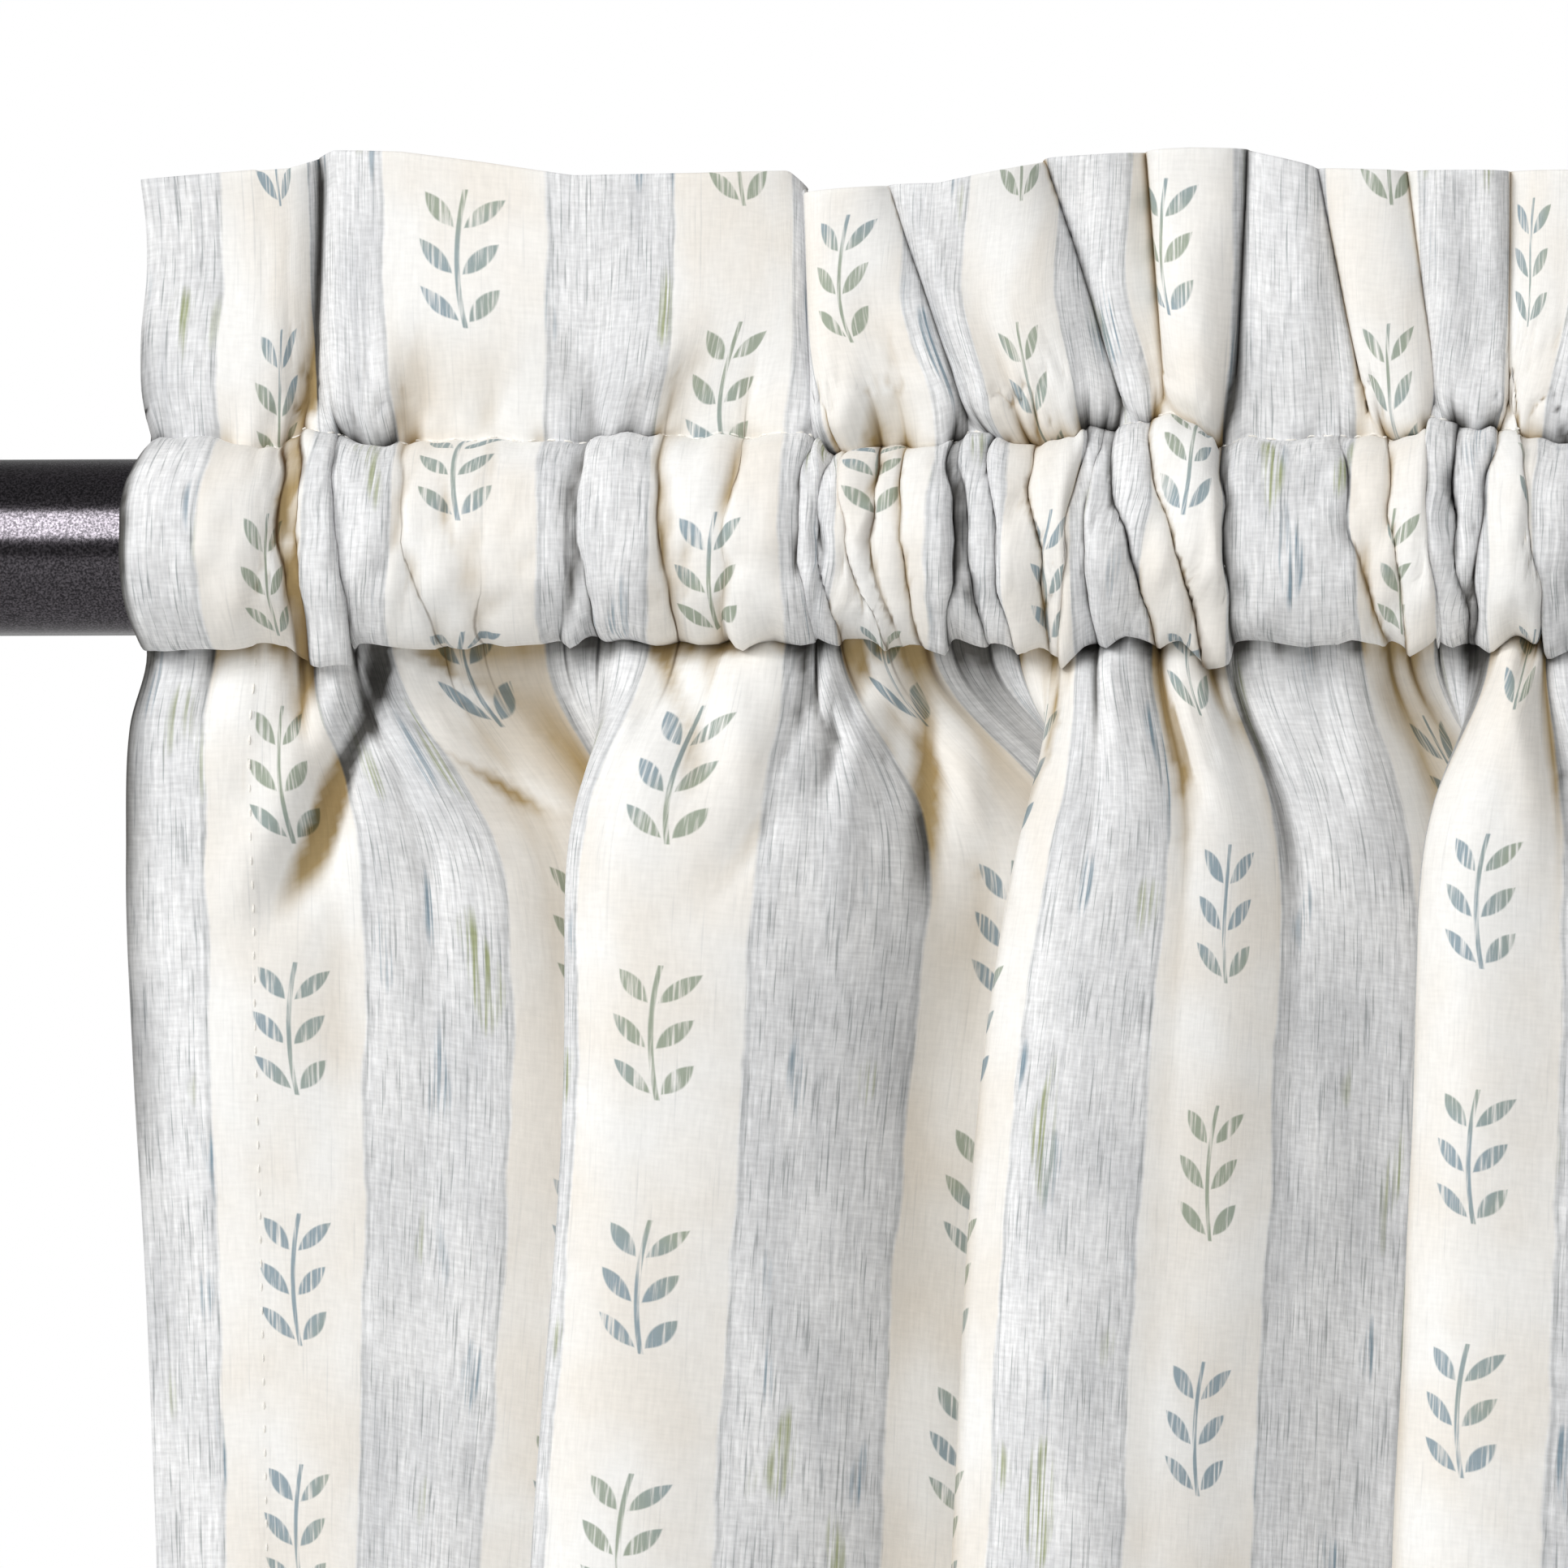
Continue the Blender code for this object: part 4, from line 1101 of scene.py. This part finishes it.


# %% [markdown]
# The cloth itself is a plain weave. Its threads are about 0.35 mm apart, too fine for the picture, so
# they are drawn 0.5 mm apart, as two crossed sets of fine uneven streaks in colour and as a low bump.
# Cream cloth lights its own creases with light that has bounced from cream, so shade in them is warm.
# That shade is painted into the colour from a point attribute, and so are dark lines along the narrow
# creases of the printed face. The reverse shows the print only weakly, as printed cotton does.

# %% Plain-weave cotton
THREAD_PITCH = 0.5
PRINT_THROUGH = 0.55
PAINTED_SHADE_POWER = 1.3


def printed_cloth(tree, uv, across, along):
    """The print with its sprigs, and where it is grey."""
    colour, grey_share = printed_bands(tree, uv, across)
    paint = add(tree, "MapRange", grain(tree, uv, 26, 26, 1, 61.0), 0.42, 0.58)
    paint = add(tree, "Mix", paint, "#8D9A86", "#7C93A0", data_type="RGBA")
    strokes = add(tree, "MapRange", grain(tree, uv, 0.5, 9, 3, 53.0), 0.3, 0.52)
    cover = add(tree, "Math", printed_sprigs(tree, across, along), strokes, operation="MULTIPLY")
    return laid_over(tree, colour, paint, cover, 0.85), grey_share


def mark(tree, name):
    """One of the point attributes that came with the grid."""
    return add(tree, "Attribute", attribute_name=name).node.outputs["Fac"]


def cloth_material(name, face):
    """Plain-weave cotton, matt, with thread lines that catch a little light, and shade painted into its
    colour in the hollows and along the narrow creases. face is 1 for the printed face and -1 for the
    reverse, where the print shows weakly, the painted crease lines are left out and the painted shade of
    the hollows falls on every crest, since crests are hollows of the reverse."""
    made, tree, shader = new_material(name)
    uv = add(tree, "UVMap", uv_map="flat cloth")
    across = add(tree, "SeparateXYZ", uv)
    colour, grey_share = printed_cloth(tree, uv, across, across.node.outputs[1])
    if face < 0:
        colour = add(tree, "Mix", PRINT_THROUGH, "#F0EEEA", colour, data_type="RGBA")

    warp = add(tree, "Math", grain(tree, uv, THREAD_PITCH, 3.5, 2, 71.0), 0.6, operation="MULTIPLY")
    weft = add(tree, "Math", grain(tree, uv, 3.0, THREAD_PITCH, 2, 83.0), 0.4, operation="MULTIPLY")
    woven = add(tree, "Math", warp, weft, operation="ADD")
    depth = add(tree, "Math", grey_share, 0.32, 0.13, operation="MULTIPLY_ADD")
    depth = add(tree, "Math", depth, 2.2, operation="MULTIPLY")
    lit = add(tree, "Math", woven, 0.5, operation="SUBTRACT")
    lit = add(tree, "Math", lit, depth, 1.0, operation="MULTIPLY_ADD")
    bright = add(tree, "HueSaturation", Color=colour, Value=lit)

    # Painted shade: in the cloth's hollows the colour is multiplied by a warm tan on cream and a dark grey on
    # grey.
    painted_shade = add(tree, "Math", mark(tree, "painted_shade"), float(face), operation="MULTIPLY", use_clamp=True)
    painted_shade = add(tree, "Math", painted_shade, PAINTED_SHADE_POWER, operation="POWER")
    shade = add(tree, "Mix", grey_share, "#B09A70", "#686662", data_type="RGBA")
    colour = add(tree, "Mix", painted_shade, bright, shade, data_type="RGBA", blend_type="MULTIPLY")
    # Painted shade: a dark line along each narrow crease, on the printed face only.
    if face > 0:
        line = add(tree, "Math", mark(tree, "crease"), operation="ABSOLUTE")
        line = add(tree, "MapRange", line, 1.0, 0.15)
        line = add(tree, "Math", line, mark(tree, "dark"), operation="MULTIPLY")
        crease_shade_colour = add(tree, "Mix", grey_share, "#5A452C", "#2F2E2E", data_type="RGBA")
        colour = add(tree, "Mix", line, colour, crease_shade_colour, data_type="RGBA")
    tree.links.new(colour, shader.inputs["Base Color"])

    bump = add(tree, "Bump", Height=woven, Strength=0.5, Distance=0.12 * MM)
    tree.links.new(bump, shader.inputs["Normal"])
    shader.inputs["Roughness"].default_value = 0.92
    shader.inputs["Specular IOR Level"].default_value = 0.25
    return made


# %% [markdown]
# Sewing thread is three plies of spun cotton twisted round each other. The real plies are 0.15 mm
# across, too fine for the picture, so noise with lumps of 0.3 mm stands for their light and dark.

# %% Spun cotton thread
PLY_SIZE = 0.3


def thread_material():
    """Spun cotton thread: nearly white, matt, with soft lumps where one ply passes over the next."""
    made, tree, shader = new_material("spun cotton thread")
    place = add(tree, "TexCoord").node.outputs["Object"]
    plies = add(tree, "TexNoise", Vector=place, Scale=1 / (PLY_SIZE * MM), Detail=2.0)
    share = add(tree, "MapRange", plies, 0.35, 0.65)
    colour = add(tree, "Mix", share, "#E9E5DC", "#FBF9F4", data_type="RGBA")
    tree.links.new(colour, shader.inputs["Base Color"])
    bump = add(tree, "Bump", Height=plies, Strength=0.5, Distance=0.05 * MM)
    tree.links.new(bump, shader.inputs["Normal"])
    shader.inputs["Roughness"].default_value = 0.75
    return made


cotton = cloth_material("printed plain-weave cotton", 1)
cotton_back = cloth_material("reverse of the printed cotton", -1)
thread.data.materials.append(thread_material())
for sheet in (head_sheet, panel_sheet):
    sheet.data.materials.append(cotton)
    sheet.data.materials.append(cotton_back)

# %% [markdown]
# The rod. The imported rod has 48 flat sides, which would break its highlight into stripes, so a finer
# one stands in for it: a profile with slightly rounded rims, turned round the rod's axis. Its finish is
# a baked powder coat, black and satin, with a fine grain of tiny lumps. Flakes of metal pigment lie close
# under its skin and mirror the lamps as dark metal does, so its shader is a dark metal.

# %% Turn the fine rod
RIM = 0.5
AROUND = 128
GRAIN = 0.32


def turned(name, stations, radii, sides):
    """A profile of stations along X and radii, carried round the X axis, with its ends closed."""
    angle = np.linspace(0.0, 2 * math.pi, sides, endpoint=False)
    x, a = np.meshgrid(stations, angle, indexing="ij")
    r = np.broadcast_to(np.array(radii)[:, None], x.shape)
    points = np.stack([x, r * np.cos(a), r * np.sin(a)], axis=-1).reshape(-1, 3) * MM
    i, k = np.meshgrid(np.arange(len(stations) - 1), np.arange(sides), indexing="ij")
    after = (k + 1) % sides
    here, there = i * sides, (i + 1) * sides
    quads = np.stack([here + k, there + k, there + after, here + after], axis=-1).reshape(-1, 4)
    first = list(range(sides))[::-1]
    last = list(range((len(stations) - 1) * sides, len(stations) * sides))
    mesh = bpy.data.meshes.new(name)
    mesh.from_pydata(points.tolist(), [], [*quads[:, ::-1].tolist(), first, last])
    mesh.shade_smooth()
    mesh.set_sharp_from_angle(angle=math.radians(60.0))
    made = bpy.data.objects.new(name, mesh)
    bpy.context.scene.collection.objects.link(made)
    return made


rod_length = (rod_high.x - rod_low.x) / MM
rim_angles = np.linspace(0.0, math.pi / 2, 5)
rim_x = RIM * (1 - np.cos(rim_angles))
rim_r = ROD_RADIUS - RIM + RIM * np.sin(rim_angles)
middle = np.linspace(RIM, rod_length - RIM, 40)[1:-1]
stations = np.concatenate([rim_x, middle, rod_length - rim_x[::-1]])
radii = np.concatenate([rim_r, np.full(len(middle), ROD_RADIUS), rim_r[::-1]])
fine_rod = turned("curtain_rod", stations, radii, AROUND)
print("rod is", round(rod_length, 1), "mm long")


# %% Powder coat
def rod_material():
    """Satin black powder coat with metal pigment: dark, with a lumpy skin and fine bright specks."""
    made, tree, shader = new_material("satin black powder coat")
    place = add(tree, "TexCoord").node.outputs["Object"]
    lumps = add(tree, "TexNoise", Vector=place, Scale=1 / (GRAIN * MM), Detail=3.0)
    specks = add(tree, "MapRange", lumps, 0.4, 0.68)
    colour = add(tree, "Mix", specks, "#323033", "#625E63", data_type="RGBA")
    tree.links.new(colour, shader.inputs["Base Color"])
    bump = add(tree, "Bump", Height=lumps, Strength=0.12, Distance=0.02 * MM)
    tree.links.new(bump, shader.inputs["Normal"])
    shader.inputs["Metallic"].default_value = 1.0
    shader.inputs["Roughness"].default_value = 0.2
    return made


fine_rod.data.materials.append(rod_material())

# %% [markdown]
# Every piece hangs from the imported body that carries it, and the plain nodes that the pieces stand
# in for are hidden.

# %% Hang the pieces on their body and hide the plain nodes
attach(fine_rod, "root")
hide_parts("rod")
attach(thread, "root")
for sheet in (head_sheet, panel_sheet):
    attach(sheet, "root")
    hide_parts("curtain")

# %% [markdown]
# The picture: a pale floor below the hem, white surroundings, a soft key light high at the left, a tall
# narrow one high in front that draws the streak on the rod, one behind for the back, and a long lens that
# looks at the curtain's upper left corner from in front of its middle.

# %% Floor, lights and camera
FLOOR_GAP = 0.06
FLOOR_SIZE = 14.0
bpy.ops.mesh.primitive_plane_add(size=FLOOR_SIZE, location=(0.37, 0.0, cad_low.z - FLOOR_GAP))
floor = bpy.context.object
floor.name = "floor"
pale, _, pale_shader = new_material("pale studio floor")
pale_shader.inputs["Base Color"].default_value = linear("#EDEDEC")
pale_shader.inputs["Roughness"].default_value = 0.8
floor.data.materials.append(pale)

FRAME_WIDTH = 0.2241
SENSOR = 36.0
AIM = Vector((LEFT_EDGE * MM + 0.0932, -0.010, -0.0346))
EYE = Vector((0.365, -2.4, -0.10))
camera = bpy.data.objects.new("camera", bpy.data.cameras.new("camera"))
bpy.context.scene.collection.objects.link(camera)
camera.location = EYE
camera.rotation_euler = (AIM - EYE).to_track_quat("-Z", "Y").to_euler()
camera.data.sensor_width = SENSOR
camera.data.lens = SENSOR * (AIM - EYE).length / FRAME_WIDTH
bpy.context.scene.camera = camera

Lamp = namedtuple("Lamp", "name place width height power")
LAMPS = [
    Lamp("key", (-1.15, -1.25, 1.0), 0.7, 0.7, 17.0),
    Lamp("front", (-0.28, -2.15, 1.12), 0.36, 1.5, 25.0),
    Lamp("back", (0.7, 2.0, 1.0), 1.5, 1.5, 34.0),
]
for lamp in LAMPS:
    light = bpy.data.lights.new(lamp.name, "AREA")
    light.energy = lamp.power
    light.shape = "RECTANGLE"
    light.size = lamp.width
    light.size_y = lamp.height
    holder = bpy.data.objects.new(lamp.name, light)
    holder.location = lamp.place
    holder.rotation_euler = (AIM - Vector(lamp.place)).to_track_quat("-Z", "Y").to_euler()
    holder.visible_camera = False
    bpy.context.scene.collection.objects.link(holder)

world = bpy.data.worlds.new("white surroundings")
world.use_nodes = True
SURROUND_LIGHT = 0.28
world_tree = world.node_tree
seen = add(world_tree, "LightPath")
strength = add(world_tree, "Math", seen, 1.0 - SURROUND_LIGHT, SURROUND_LIGHT, operation="MULTIPLY_ADD")
background = world_tree.nodes["Background"]
background.inputs["Color"].default_value = (1.0, 1.0, 1.0, 1.0)
world_tree.links.new(strength, background.inputs["Strength"])
bpy.context.scene.world = world
bpy.context.scene.view_settings.view_transform = "Standard"
